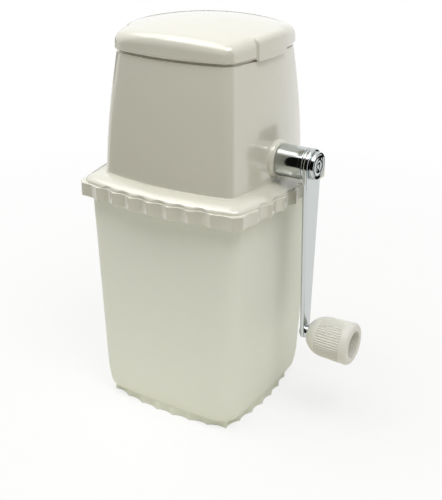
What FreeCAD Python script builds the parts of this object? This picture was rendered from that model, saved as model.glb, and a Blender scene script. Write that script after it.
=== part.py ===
import FreeCAD, Part
import math
import os

import Sketcher
from FreeCAD import Placement, Rotation, Vector

# Hand-cranked ice crusher: a translucent square tub with a scalloped foot, a
# white head with a scalloped collar that sits on the tub, a lift-off lid, and
# a chrome crank on the right that turns a bladed rotor between two fixed combs.
# Frame: +Z up, +X towards the crank, -Y the front, origin under the tub centre.

doc = FreeCAD.newDocument("IceCrusher")
sheet = doc.addObject("Spreadsheet::Sheet", "Sizes")

# Driving sizes in millimetres, counts and degrees. A text value is a formula.
SIZES = [
    ("fit_gap", 0.3, "gap between pieces of different bodies"),
    ("running_gap", 0.05, "radial clearance of a turning fit"),
    ("push_gap", 0.02, "radial clearance of a fixed fit"),
    # tub
    ("tub_rim", 144.0, "height of the tub"),
    ("tub_wall", 2.4, "tub wall"),
    ("tub_floor", 7.0, "solid tub floor"),
    ("tub_bow", 600.0, "radius of the bowed tub sides"),
    ("tub_corner", 12.0, "radius of the upright tub corners"),
    ("tub_half_foot", 48.0, "tub half width just above the foot"),
    ("tub_half_roll", 48.9, "tub half width within the lower roll"),
    ("tub_half_low", 49.8, "tub half width above the lower roll"),
    ("tub_half_rim", 53.8, "tub half width at the rim"),
    ("tub_inner_floor", 43.4, "inner half width at the floor"),
    ("roll_height", 5.5, "height of the middle of the lower roll over the foot"),
    ("roll_top", 17.0, "height of the top of the lower roll over the foot"),
    ("foot_rise", 6.5, "height of the scalloped foot"),
    ("foot_corner", 42.3, "foot half width at its corners"),
    ("foot_sag", 6.0, "how far the foot's sides bow out"),
    ("foot_scallops", 7, "scallops on each side of the foot"),
    ("foot_scallop_depth", 1.6, "depth of a foot scallop"),
    # collar and shoulder of the head
    ("collar_lap", 5.0, "how far the collar reaches down over the tub"),
    ("collar_rise", 8.1, "height of the collar band"),
    ("collar_corner", 54.2, "collar half width at its corners"),
    ("collar_sag", 7.8, "how far the collar's sides bow out"),
    ("collar_scallops", 8, "scallops on each side of the collar"),
    ("collar_scallop_depth", 2.5, "depth of a collar scallop"),
    ("collar_end", 0.716, "share of the half side where the end scallops start"),
    ("collar_end_depth", 1.0, "depth of the end scallops"),
    ("collar_blunt", 2.5, "how far the collar's corners are cut back along the sides"),
    ("collar_blunt_out", 1.5, "how far out the cut corners stand"),
    ("socket_gap", 0.5, "gap round the tub inside the collar"),
    ("shoulder_half", 58.8, "shoulder half width"),
    ("shoulder_bow", 189.0, "radius of the shoulder's bowed sides"),
    ("shoulder_corner", 7.0, "radius of the shoulder's upright corners"),
    ("shoulder_rise", 4.5, "rise of the shoulder over the collar band"),
    ("shoulder_round", 3.8, "rounding of the shoulder's edge"),
    # housing of the head
    ("shell_wall", 2.4, "wall of the housing"),
    ("shell_mid_rise", 36.4, "rise of the middle section over the shoulder"),
    ("shell_rise", 71.4, "rise of the top section over the shoulder"),
    ("shell_half_low", 48.8, "housing half width on the shoulder"),
    ("shell_half_mid", 47.2, "housing half width at the middle section"),
    ("shell_half_top", 43.4, "housing half width at the top section"),
    ("shell_bow_low", 170.0, "bow radius on the shoulder"),
    ("shell_bow_mid", 150.0, "bow radius at the middle section"),
    ("shell_bow_top", 133.0, "bow radius at the top section"),
    ("shell_corner_low", 5.5, "corner radius on the shoulder"),
    ("shell_corner_mid", 7.5, "corner radius at the middle section"),
    ("shell_corner_top", 10.0, "corner radius at the top section"),
    ("neck_inset", 0.9, "step in to the neck under the lid"),
    ("neck_rise", 1.6, "height of the neck under the lid"),
    ("boss_radius", 11.5, "round boss that the crank leaves by"),
    ("boss_inner", 41.0, "inner end of the boss"),
    ("boss_face", 51.0, "outer face of the boss"),
    ("boss_round", 2.0, "rounding of the boss"),
    ("lug_inner", 30.4, "inner faces of the four corner lugs"),
    ("lug_outer", 38.0, "outer faces of the four corner lugs"),
    ("lug_wing", 35.0, "outer edges of the lugs' wings"),
    ("lug_reach", 40.8, "ends of the lugs' wings, in the housing's walls"),
    ("lug_rise", 8.0, "height of a corner lug"),
    # hopper and its throat
    ("hopper_gap", 0.5, "gap between hopper and housing"),
    ("hopper_seat", 46.4, "rise of the hopper's seat on the lugs over the shoulder"),
    ("hopper_rise", 12.0, "height of the hopper from its seat to its rim"),
    ("hopper_rim", 3.0, "width of the hopper's flat rim"),
    ("throat_half", 27.0, "half width of the throat"),
    ("throat_wall", 2.5, "wall of the throat"),
    ("throat_bow", 6000.0, "bow radius of the throat's sides"),
    ("throat_corner", 3.0, "corner radius inside the throat"),
    ("throat_clear", 1.0, "lower end of the throat over the tub's rim"),
    ("lug_screw", 1.5, "radius of a hopper screw"),
    ("lug_screw_head", 2.8, "radius of its head"),
    ("lug_screw_cap", 2.2, "height of its head"),
    ("lug_screw_grip", 6.0, "length that a hopper screw has in the hopper"),
    ("lug_screw_place", 34.6, "distance of the hopper screws from the middle"),
    # lid
    ("lid_half", 44.5, "lid half width at its edge"),
    ("lid_bow", 129.0, "bow radius of the lid's sides"),
    ("lid_corner", 10.0, "corner radius of the lid"),
    ("lid_rise", 16.7, "rise of the lid's crown over its edge"),
    ("lid_crown", 182.0, "radius of the domed crown"),
    ("crown_waste", 5.0, "height that the crown's cut clears over the crown"),
    ("lid_draft", 0.9, "how far the lid's sides lean in up to the crown"),
    ("lid_round", 7.0, "rounding between sides and crown"),
    ("lid_wall", 2.4, "thickness of the crown"),
    ("skirt_wall", 1.8, "wall of the skirt inside the housing"),
    ("skirt_drop", 6.0, "depth of the skirt below the lid's edge"),
    ("ear_proud", 1.2, "how far a finger grip stands out of the lid"),
    ("ear_drop", 1.6, "how far a finger grip reaches below the lid's edge"),
    ("ear_gap", 0.46, "gap between a finger grip and the housing"),
    ("ear_front", 18.0, "front end of the finger grips"),
    ("ear_back", 14.0, "back end of the finger grips"),
    ("ear_round", 4.0, "rounding of a finger grip's upper edge"),
    ("ear_inner", 30.0, "inner end of the finger grips in the crown"),
    # rotor, bushes and combs
    ("axle_rise", 12.9, "rise of the crank's axis over the shoulder"),
    ("axle_radius", 4.0, "journals of the rotor shaft"),
    ("hex_flat", 4.0, "half width across the flats of the hexagon"),
    ("hex_half", 26.6, "half length of the hexagon"),
    ("blade_count", 5, "blades on the rotor"),
    ("blade_pitch", 10.6, "distance from blade to blade"),
    ("blade_thick", 2.5, "thickness of a blade"),
    ("blade_tip", 21.0, "radius of the blade points"),
    ("blade_root", 9.5, "radius between the blade points"),
    ("blade_points", 4, "points on a blade"),
    ("blade_turn", 18.0, "turn from each blade to the next, degrees"),
    ("blade_rake", 16.0, "lean of the points, degrees"),
    ("sleeve_radius", 7.0, "spacer sleeves between the blades"),
    ("end_collar_radius", 6.6, "collars at the ends of the rotor"),
    ("bush_radius", 7.0, "outside of a throat bush"),
    ("bush_flange", 9.5, "flange of a throat bush"),
    ("bush_lip", 2.0, "thickness of the flange"),
    ("boss_bush_radius", 7.5, "outside of the boss bush"),
    ("clip_radius", 7.0, "retaining ring on the shaft's left end"),
    ("clip_thick", 1.2, "thickness of the retaining ring"),
    ("clip_depth", 0.8, "depth of its groove"),
    ("shaft_tail", 1.6, "shaft beyond the retaining ring"),
    ("comb_thick", 2.0, "plate of a comb"),
    ("comb_half", 23.5, "half length of a comb"),
    ("comb_seat", 0.06, "gap between a comb and the bowed throat wall"),
    ("comb_drop", 14.5, "lower edge of a comb below the crank's axis"),
    ("comb_rise", 15.5, "upper edge of a comb over the crank's axis"),
    ("tooth_thick", 2.5, "thickness of a comb tooth"),
    ("tooth_root", 7.5, "half height of a tooth where it leaves the plate"),
    ("tooth_tip", 1.6, "half height of a tooth at its tip"),
    ("tooth_gap", 2.6, "gap from tooth tip to spacer sleeve"),
    ("comb_screw", 2.0, "radius of a comb screw"),
    ("comb_screw_head", 3.6, "radius of its head"),
    ("comb_screw_cap", 2.2, "height of its head"),
    ("comb_screw_place", 19.0, "distance of the comb screws from the middle"),
    ("comb_screw_drop", 4.6, "comb screws below the comb's upper edge"),
    # crank
    ("hub_gap", 0.4, "gap between boss and chrome hub"),
    ("hub_radius", 9.4, "chrome hub"),
    ("hub_end", 66.1, "outer end of the plain hub"),
    ("ring_thick", 1.6, "thickness of a hub ring"),
    ("ring_radius", 9.7, "radius of the hub rings"),
    ("arm_thick", 2.7, "thickness of the crank arm"),
    ("arm_eye", 9.6, "radius of the arm round the hub"),
    ("arm_foot", 4.4, "radius of the arm round the handle pin"),
    ("throw", 108.0, "distance from crank axis to handle pin"),
    ("arm_lean", 1.5, "how far the arm hangs off the vertical, degrees"),
    ("cap_radius", 8.2, "end cap of the hub"),
    ("cap_thick", 2.9, "thickness of the end cap"),
    ("cap_skin", 1.2, "end cap over the shaft's end"),
    # handle
    ("pin_radius", 2.2, "handle pin"),
    ("pin_rivet", 3.6, "radius of the riveted pin end"),
    ("pin_rivet_cap", 1.2, "height of the riveted pin end"),
    ("pin_head", 5.0, "radius of the pin's head in the knob"),
    ("pin_cap", 1.8, "height of the pin's head"),
    ("washer_radius", 4.2, "washer between arm and knob"),
    ("washer_thick", 2.2, "thickness of the washer"),
    ("knob_start", 6.4, "knob radius at the washer"),
    ("knob_dome", 11.5, "length of the knob's domed end"),
    ("knob_waist", 12.4, "knob radius after the dome"),
    ("knob_flare", 13.0, "knob radius at its outer end"),
    ("knob_dome_radius", 13.5, "radius of the dome's curve"),
    ("knob_length", 28.6, "length of the knob"),
    ("knob_round", 2.5, "rounding of the knob's outer edge"),
    ("knob_recess", 8.2, "radius of the recess in the knob's end"),
    ("knob_recess_depth", 7.0, "depth of the recess"),
    # worked out from the above
    ("collar_low", "=tub_rim - collar_lap", "underside of the collar"),
    ("collar_top", "=collar_low + collar_rise", "top of the collar band"),
    ("shoulder_top", "=collar_top + shoulder_rise", "top of the shoulder"),
    ("shell_mid", "=shoulder_top + shell_mid_rise", "height of the middle section"),
    ("shell_top", "=shoulder_top + shell_rise", "height of the top section"),
    ("hopper_low", "=shoulder_top + hopper_seat", "underside of the hopper"),
    ("hopper_top", "=hopper_low + hopper_rise", "rim of the hopper"),
    ("throat_low", "=tub_rim + throat_clear", "lower end of the throat"),
    ("lid_edge", "=shell_top + neck_rise", "seat of the lid's edge"),
    ("lid_top", "=lid_edge + lid_rise", "height of the lid's crown"),
    ("axle_height", "=shoulder_top + axle_rise", "height of the crank's axis"),
    ("comb_low", "=axle_height - comb_drop", "lower edge of a comb"),
    ("comb_high", "=axle_height + comb_rise", "upper edge of a comb"),
    ("throat_outer", "=throat_half + throat_wall", "outside of the throat"),
    ("bush_inner", "=throat_half", "inner end of a throat bush"),
    ("bush_outer", "=throat_outer + bush_lip", "outer end of a throat bush"),
    ("hub_start", "=boss_face + hub_gap", "inner end of the chrome hub"),
    ("arm_inner", "=hub_end + 2 * ring_thick", "inner face of the arm"),
    ("arm_outer", "=arm_inner + arm_thick", "outer face of the arm"),
    ("knob_inner", "=arm_outer + washer_thick + fit_gap", "inner end of the knob"),
    ("pin_back", "=throw * sin(arm_lean * 1 deg)", "handle pin behind the crank's axis"),
    ("pin_height", "=axle_height - throw * cos(arm_lean * 1 deg)", "height of the handle pin"),
    ("clip_place", "=bush_outer + fit_gap", "inner face of the retaining ring"),
]


def fill_sheet():
    for row, (alias, value, note) in enumerate(SIZES, start=1):
        sheet.set(f"A{row}", str(value))
        sheet.setAlias(f"A{row}", alias)
        sheet.set(f"B{row}", note)
    doc.recompute()


def number(expression):
    """The value of an expression over the sheet."""
    result = sheet.evalExpression(expression)
    return float(getattr(result, "Value", result))


def size(alias):
    return number(f"Sizes.{alias}")


# ---------------------------------------------------------------- sketches

def new_body(label, base=None, rotation=None):
    """A body whose origin sits at three expressions, turned by a rotation."""
    body = doc.addObject("PartDesign::Body", "Body")
    body.Label = label
    if rotation:
        body.Placement = Placement(Vector(), rotation)
    for axis, expression in zip("xyz", base or ()):
        if expression:
            body.setExpression(f"Placement.Base.{axis}", expression)
    return body


def new_sketch(body, height=None, plane="XY_Plane"):
    """A sketch on an origin plane of the body, lifted along its normal."""
    sketch = body.newObject("Sketcher::SketchObject", "Sketch")
    origin = next(f for f in body.Origin.OriginFeatures if f.Role == plane)
    sketch.AttachmentSupport = [(origin, "")]
    sketch.MapMode = "FlatFace"
    if height:
        sketch.setExpression("AttachmentOffset.Base.z", height)
    return sketch


def bind(sketch, constraint, expression):
    """Add a constraint whose value follows an expression."""
    index = sketch.addConstraint(constraint)
    sketch.setExpression(f"Constraints[{index}]", expression)


def pin_point(sketch, edge, end, x, y):
    """Hold one end of an edge at two expressions, measured from the origin."""
    for kind, axis, expression in (("DistanceX", -2, x), ("DistanceY", -1, y)):
        if expression == "0":
            sketch.addConstraint(Sketcher.Constraint("PointOnObject", edge, end, axis))
        else:
            value = number(expression)
            bind(sketch, Sketcher.Constraint(kind, -1, 1, edge, end, value), expression)


def circle(sketch, radius, x="0", y="0"):
    centre = Vector(number(x), number(y), 0)
    edge = sketch.addGeometry(Part.Circle(centre, Vector(0, 0, 1), number(radius)))
    pin_point(sketch, edge, 3, x, y)
    bind(sketch, Sketcher.Constraint("Radius", edge, number(radius)), radius)


def outline(sketch, corners):
    """Closed outline. A corner is x, y and the radius of the edge that leaves it.

    A radius of None makes a straight edge; every arc turns with the outline,
    so the outline runs counter-clockwise.
    """
    points = [Vector(number(x), number(y), 0) for x, y, _ in corners]
    count = len(corners)
    starts, ends = [], []
    for i, (_, _, radius) in enumerate(corners):
        a, b = points[i], points[(i + 1) % count]
        if radius is None:
            edge = sketch.addGeometry(Part.LineSegment(a, b))
        else:
            edge = sketch.addGeometry(arc_between(a, b, number(radius)))
            bind(sketch, Sketcher.Constraint("Radius", edge, number(radius)), radius)
        starts.append((edge, 1))
        ends.append((edge, 2))
    for i, (x, y, _) in enumerate(corners):
        sketch.addConstraint(Sketcher.Constraint("Coincident", *ends[i - 1], *starts[i]))
        pin_point(sketch, *starts[i], x, y)


def arc_between(a, b, radius):
    """The counter-clockwise arc from a to b, less than half a turn."""
    half = (b - a).Length / 2
    middle = (a + b) * 0.5
    side = Vector(-(b - a).y, (b - a).x, 0).normalize()
    centre = middle + side * math.sqrt(radius ** 2 - half ** 2)
    start = math.atan2(a.y - centre.y, a.x - centre.x)
    end = math.atan2(b.y - centre.y, b.x - centre.x)
    return Part.ArcOfCircle(Part.Circle(centre, Vector(0, 0, 1), radius), start, end)


def rectangle(sketch, left, right, low, high):
    corners = [(left, low), (right, low), (right, high), (left, high)]
    outline(sketch, [(x, y, None) for x, y in corners])


def bowed_square(sketch, half, bow, corner):
    """Square with four bowed sides and four rounded corners, all tangent."""
    reach = number(f"({bow}) - ({half})")
    big, small = number(bow), number(corner)
    place = (math.sqrt(2 * (big - small) ** 2 - reach ** 2) - reach) / 2
    turn = math.atan2(place, reach + place)
    up = Vector(0, 0, 1)
    sides, corners = [], []
    for quarter in range(4):
        base = quarter * math.pi / 2
        side_centre = Vector(-math.sin(base), math.cos(base), 0) * reach
        down = base - math.pi / 2
        side_arc = Part.ArcOfCircle(Part.Circle(side_centre, up, big), down - turn, down + turn)
        sides.append(sketch.addGeometry(side_arc))
        spot = Vector(math.cos(base + math.pi * 1.75), math.sin(base + math.pi * 1.75), 0)
        ring = Part.Circle(spot * place * math.sqrt(2), up, small)
        corners.append(sketch.addGeometry(Part.ArcOfCircle(ring, down + turn, base - turn)))
    for i in range(4):
        following = sides[(i + 1) % 4]
        sketch.addConstraint(Sketcher.Constraint("Tangent", sides[i], 2, corners[i], 1))
        sketch.addConstraint(Sketcher.Constraint("Tangent", corners[i], 2, following, 1))
        if i:
            sketch.addConstraint(Sketcher.Constraint("Equal", sides[0], sides[i]))
            sketch.addConstraint(Sketcher.Constraint("Equal", corners[0], corners[i]))
    offset = f"({bow}) - ({half})"
    for i, (kind, axis) in enumerate((("DistanceY", -2), ("DistanceX", -1)) * 2):
        first, second = ((-1, 1), (sides[i], 3))
        if i in (1, 2):
            first, second = second, first
        sketch.addConstraint(Sketcher.Constraint("PointOnObject", sides[i], 3, axis))
        bind(sketch, Sketcher.Constraint(kind, *first, *second, reach), offset)
    bind(sketch, Sketcher.Constraint("Radius", sides[0], big), bow)
    bind(sketch, Sketcher.Constraint("Radius", corners[0], small), corner)


def scalloped_square(sketch, corner, sag, depths, cusps, blunt=None):
    """Bowed square whose sides are rows of hollow scallops between sharp cusps.

    cusps are the places of the cusps on a side, from -1 to 1, and depths the
    depth of each scallop between them. blunt is how far each side's end cusps
    move in along the side and out from it, which cuts the corners off.
    """
    side = [Vector(corner * place, -corner - sag * (1 - place ** 2), 0) for place in cusps]
    if blunt:
        side[0] += Vector(blunt[0], -blunt[1], 0)
        side[-1] += Vector(-blunt[0], -blunt[1], 0)
    for quarter in range(4):
        turn = Rotation(Vector(0, 0, 1), 90 * quarter)
        points = [turn.multVec(point) for point in side]
        edges = [scallop(*ends) for ends in zip(points, points[1:], depths)]
        if blunt:
            after = Rotation(Vector(0, 0, 1), 90 * (quarter + 1)).multVec(side[0])
            edges.append(Part.LineSegment(points[-1], after))
        for edge in edges:
            placed = sketch.addGeometry(edge)
            sketch.addConstraint(Sketcher.Constraint("Block", placed))


def scallop(start, end, depth):
    """Hollow arc between two cusps of a counter-clockwise outline."""
    along = end - start
    inward = Vector(-along.y, along.x, 0).normalize()
    radius = (along.Length ** 2 / 4 + depth ** 2) / (2 * depth)
    centre = (start + end) * 0.5 + inward * (depth - radius)
    return arc_about(centre, radius, end, start)


def arc_about(centre, radius, a, b):
    """Counter-clockwise arc about a centre from a to b."""
    start = math.atan2(a.y - centre.y, a.x - centre.x)
    end = math.atan2(b.y - centre.y, b.x - centre.x)
    return Part.ArcOfCircle(Part.Circle(centre, Vector(0, 0, 1), radius), start, end)


# ---------------------------------------------------------------- features

def extrude(body, kind, sketch, length, along=True):
    """Pad or pocket along the sketch's normal, or against it."""
    feature = body.newObject(f"PartDesign::{kind}", kind)
    feature.Profile = sketch
    feature.setExpression("Length", length)
    feature.Reversed = along == (kind == "Pocket")
    return feature


def through(body, sketch):
    """Pocket right through the body, both ways from the sketch."""
    feature = body.newObject("PartDesign::Pocket", "Pocket")
    feature.Profile = sketch
    feature.Type = "ThroughAll"
    feature.Midplane = True
    return feature


def loft(body, kind, sketches, ruled=False):
    feature = body.newObject(f"PartDesign::{kind}", kind)
    feature.Profile = sketches[0]
    feature.Sections = sketches[1:]
    feature.Ruled = ruled
    return feature


def round_edges(body, radius, wanted):
    """Fillet the edges of the body's tip for which wanted(edge) is true."""
    doc.recompute()
    tip = body.Tip
    names = [f"Edge{i}" for i, e in enumerate(tip.Shape.Edges, start=1) if wanted(e)]
    feature = body.newObject("PartDesign::Fillet", "Fillet")
    feature.Base = (tip, names)
    feature.setExpression("Radius", radius)
    return feature


def disc(body, radius, start, length):
    """Add a cylinder on the body's own Z axis."""
    sketch = new_sketch(body, start)
    circle(sketch, radius)
    return extrude(body, "Pad", sketch, length)


def bore(body, radius, start, length):
    """Cut a cylinder on the body's own Z axis."""
    sketch = new_sketch(body, start)
    circle(sketch, radius)
    return extrude(body, "Pocket", sketch, length)


ALONG_X = Rotation(Vector(0, 1, 0), 90)
PIN_PLACE = ("Sizes.pin_back", "Sizes.pin_height")


def turned_body(label, start, back=None, height="Sizes.axle_height"):
    """A body whose own Z axis runs along +X from a start, at a place."""
    return new_body(label, (start, back, height), ALONG_X)


def peg(radius, length, base, rotation):
    """A plain cylinder bound to the sheet, from a base point."""
    cylinder = doc.addObject("Part::Cylinder", "Peg")
    cylinder.Placement = Placement(Vector(), rotation)
    cylinder.setExpression("Radius", radius)
    cylinder.setExpression("Height", length)
    for axis, expression in zip("xyz", base):
        cylinder.setExpression(f"Placement.Base.{axis}", expression)
    return cylinder


def group(label, pieces):
    """Identical fasteners as separate solids of one sub-part."""
    compound = doc.addObject("Part::Compound", "Group")
    compound.Label = label
    compound.Links = pieces
    return compound


def fuse(pieces):
    feature = doc.addObject("Part::MultiFuse", "Fusion")
    feature.Shapes = pieces
    return feature


# --------------------------------------------------------------------- tub

def make_tub():
    body = new_body("container_tub")
    foot = new_sketch(body)
    count = int(size("foot_scallops"))
    cusps = [2 * i / count - 1 for i in range(count + 1)]
    scalloped_square(foot, size("foot_corner"), size("foot_sag"),
                     [size("foot_scallop_depth")] * count, cusps)
    extrude(body, "Pad", foot, "Sizes.foot_rise")
    heights = ["Sizes.foot_rise", "Sizes.foot_rise + Sizes.roll_height",
               "Sizes.foot_rise + Sizes.roll_top"]
    halves = ["Sizes.tub_half_foot", "Sizes.tub_half_roll", "Sizes.tub_half_low"]
    inner_heights = ["Sizes.tub_floor"] + heights[1:]
    inner_halves = ["Sizes.tub_inner_floor"] + [f"{h} - Sizes.tub_wall" for h in halves[1:]]
    outer = [tub_section(body, z, half, "0") for z, half in zip(heights, halves)]
    rim = tub_section(body, "Sizes.tub_rim", "Sizes.tub_half_rim", "0")
    loft(body, "AdditiveLoft", outer)
    loft(body, "AdditiveLoft", [outer[-1], rim], ruled=True)
    inner = [tub_section(body, z, half, "Sizes.tub_wall")
             for z, half in zip(inner_heights, inner_halves)]
    inner_rim = tub_section(body, "Sizes.tub_rim", "Sizes.tub_half_rim - Sizes.tub_wall",
                            "Sizes.tub_wall")
    loft(body, "SubtractiveLoft", inner)
    loft(body, "SubtractiveLoft", [inner[-1], inner_rim], ruled=True)
    return body


def tub_section(body, height, half, inset):
    sketch = new_sketch(body, height)
    bowed_square(sketch, half, f"Sizes.tub_bow - {inset}", f"Sizes.tub_corner - {inset}")
    return sketch


# -------------------------------------------------------------------- head

def housing_sections(body, inset):
    """The three sections of the tapering housing, moved in by an inset."""
    sketches = []
    for name, height in (("low", "shoulder_top"), ("mid", "shell_mid"), ("top", "shell_top")):
        sketch = new_sketch(body, f"Sizes.{height}")
        bowed_square(sketch, f"Sizes.shell_half_{name} - ({inset})",
                     f"Sizes.shell_bow_{name} - ({inset})",
                     f"Sizes.shell_corner_{name} - ({inset})")
        sketches.append(sketch)
    return sketches


def straight_section(body, height, name, inset):
    """One housing section on another height, for a straight stretch."""
    sketch = new_sketch(body, height)
    bowed_square(sketch, f"Sizes.shell_half_{name} - ({inset})",
                 f"Sizes.shell_bow_{name} - ({inset})",
                 f"Sizes.shell_corner_{name} - ({inset})")
    return sketch


def make_housing():
    body = new_body("head_housing")
    add_collar(body)
    loft(body, "AdditiveLoft", housing_sections(body, "0"))
    neck = straight_section(body, "Sizes.shell_top", "top", "Sizes.neck_inset")
    extrude(body, "Pad", neck, "Sizes.neck_rise")
    hollow_housing(body)
    add_boss(body)
    add_lugs(body)
    return body


def add_collar(body):
    """Scalloped band and the rounded shoulder on it."""
    band = new_sketch(body, "Sizes.collar_low")
    end, count = size("collar_end"), int(size("collar_scallops")) - 2
    cusps = [-1] + [end * (2 * i / count - 1) for i in range(count + 1)] + [1]
    depths = [size("collar_scallop_depth")] * count
    depths = [size("collar_end_depth"), *depths, size("collar_end_depth")]
    scalloped_square(band, size("collar_corner"), size("collar_sag"), depths, cusps,
                     (size("collar_blunt"), size("collar_blunt_out")))
    extrude(body, "Pad", band, "Sizes.collar_rise")
    shoulder = new_sketch(body, "Sizes.collar_top")
    bowed_square(shoulder, "Sizes.shoulder_half", "Sizes.shoulder_bow", "Sizes.shoulder_corner")
    extrude(body, "Pad", shoulder, "Sizes.shoulder_top - Sizes.collar_top")
    top = size("shoulder_top")
    round_edges(body, "Sizes.shoulder_round",
                lambda e: min(v.Z for v in e.Vertexes) > top - 0.01)


def hollow_housing(body):
    socket = new_sketch(body, "Sizes.collar_low")
    bowed_square(socket, "Sizes.tub_half_rim + Sizes.socket_gap",
                 "Sizes.tub_bow + Sizes.socket_gap", "Sizes.tub_corner + Sizes.socket_gap")
    extrude(body, "Pocket", socket, "Sizes.tub_rim - Sizes.collar_low")
    throat = straight_section(body, "Sizes.tub_rim", "low", "Sizes.shell_wall")
    extrude(body, "Pocket", throat, "Sizes.shoulder_top - Sizes.tub_rim")
    loft(body, "SubtractiveLoft", housing_sections(body, "Sizes.shell_wall"))
    mouth = straight_section(body, "Sizes.shell_top", "top", "Sizes.shell_wall")
    extrude(body, "Pocket", mouth, "Sizes.neck_rise")


def add_boss(body):
    """Round boss on the right side, bored for the crank's bush."""
    ring = new_sketch(body, "Sizes.boss_inner", "YZ_Plane")
    circle(ring, "Sizes.boss_radius", "0", "Sizes.axle_height")
    extrude(body, "Pad", ring, "Sizes.boss_face - Sizes.boss_inner")
    face = size("boss_face")
    round_edges(body, "Sizes.boss_round",
                lambda e: all(abs(v.X - face) < 0.01 for v in e.Vertexes))
    hole = new_sketch(body, "Sizes.boss_inner", "YZ_Plane")
    circle(hole, "Sizes.boss_bush_radius + Sizes.push_gap", "0", "Sizes.axle_height")
    extrude(body, "Pocket", hole, "Sizes.boss_face - Sizes.boss_inner")


def add_lugs(body):
    """Four corner lugs that carry the hopper, each with two wings and a screw hole."""
    base = "Sizes.hopper_low - Sizes.lug_rise"
    blocks = new_sketch(body, base)
    near, far = "Sizes.lug_inner", "Sizes.lug_outer"
    wing, reach = "Sizes.lug_wing", "Sizes.lug_reach"
    lug = [(near, near), (reach, near), (reach, wing), (far, wing),
           (far, far), (wing, far), (wing, reach), (near, reach)]
    for x_sign in ("", "-"):
        for y_sign in ("", "-"):
            outline(blocks, [(x_sign + x, y_sign + y, None) for x, y in lug])
    extrude(body, "Pad", blocks, "Sizes.lug_rise")
    holes = new_sketch(body, base)
    four_circles(holes, "Sizes.lug_screw + Sizes.push_gap", "Sizes.lug_screw_place")
    extrude(body, "Pocket", holes, "Sizes.lug_rise")


def four_circles(sketch, radius, place):
    for x in (place, f"-{place}"):
        for y in (place, f"-{place}"):
            circle(sketch, radius, x, y)


def make_hopper():
    """Funnel that fills the housing over the lugs, with a square throat."""
    body = new_body("hopper_chute")
    loft(body, "AdditiveLoft", housing_sections(body, "Sizes.shell_wall + Sizes.hopper_gap"))
    for height, length in (("Sizes.hopper_top", "Sizes.shell_top - Sizes.hopper_top"),
                           ("Sizes.shoulder_top", "Sizes.hopper_low - Sizes.shoulder_top")):
        waste = new_sketch(body, height)
        circle(waste, "2 * Sizes.shell_half_low")
        extrude(body, "Pocket", waste, length)
    tube = new_sketch(body, "Sizes.throat_low")
    bowed_square(tube, "Sizes.throat_outer", "Sizes.throat_bow + Sizes.throat_wall",
                 "Sizes.throat_corner + Sizes.throat_wall")
    extrude(body, "Pad", tube, "Sizes.hopper_low - Sizes.throat_low")
    opening = new_sketch(body, "Sizes.throat_low")
    bowed_square(opening, "Sizes.throat_half", "Sizes.throat_bow", "Sizes.throat_corner")
    through(body, opening)
    lower = new_sketch(body, "Sizes.hopper_low")
    bowed_square(lower, "Sizes.throat_half", "Sizes.throat_bow", "Sizes.throat_corner")
    upper = straight_section(body, "Sizes.hopper_top", "top",
                             "Sizes.shell_wall + Sizes.hopper_gap + Sizes.hopper_rim")
    loft(body, "SubtractiveLoft", [lower, upper])
    holes = new_sketch(body, "Sizes.hopper_low")
    four_circles(holes, "Sizes.lug_screw + Sizes.push_gap", "Sizes.lug_screw_place")
    extrude(body, "Pocket", holes, "Sizes.lug_screw_grip")
    bushes = new_sketch(body, None, "YZ_Plane")
    circle(bushes, "Sizes.bush_radius + Sizes.push_gap", "0", "Sizes.axle_height")
    through(body, bushes)
    screws = new_sketch(body, None, "XZ_Plane")
    for x in ("Sizes.comb_screw_place", "-Sizes.comb_screw_place"):
        circle(screws, "Sizes.comb_screw + Sizes.push_gap", x,
               "Sizes.comb_high - Sizes.comb_screw_drop")
    through(body, screws)
    return body


def make_hopper_screws():
    """Four screws driven up through the lugs into the hopper."""
    screws = []
    seat = "Sizes.hopper_low - Sizes.lug_rise"
    reach = "Sizes.lug_rise + Sizes.lug_screw_grip"
    up = Rotation()
    for x in ("Sizes.lug_screw_place", "-Sizes.lug_screw_place"):
        for y in ("Sizes.lug_screw_place", "-Sizes.lug_screw_place"):
            head = peg("Sizes.lug_screw_head", "Sizes.lug_screw_cap",
                       (x, y, f"{seat} - Sizes.lug_screw_cap"), up)
            shank = peg("Sizes.lug_screw", reach, (x, y, seat), up)
            screws.append(fuse([head, shank]))
    return group("hopper_screws", screws)


# --------------------------------------------------------------------- lid

def domed_form(half, bow, corner, low, drop, rounding):
    """Bowed square block under a domed crown, its upper edge rounded."""
    body = new_body("form")
    base = new_sketch(body, low)
    bowed_square(base, half, bow, corner)
    upper = new_sketch(body, "Sizes.lid_top")
    bowed_square(upper, f"{half} - Sizes.lid_draft", f"{bow} - Sizes.lid_draft",
                 f"{corner} - Sizes.lid_draft")
    loft(body, "AdditiveLoft", [base, upper], ruled=True)
    crown = body.newObject("PartDesign::Groove", "Groove")
    crown.Profile = crown_profile(body, drop)
    crown.ReferenceAxis = (crown.Profile[0], ["V_Axis"])
    crown.Angle = 360
    edge = size("lid_edge")
    if rounding:
        round_edges(body, rounding, lambda e: min(v.Z for v in e.Vertexes) > edge + 0.01)
    return body


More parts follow.
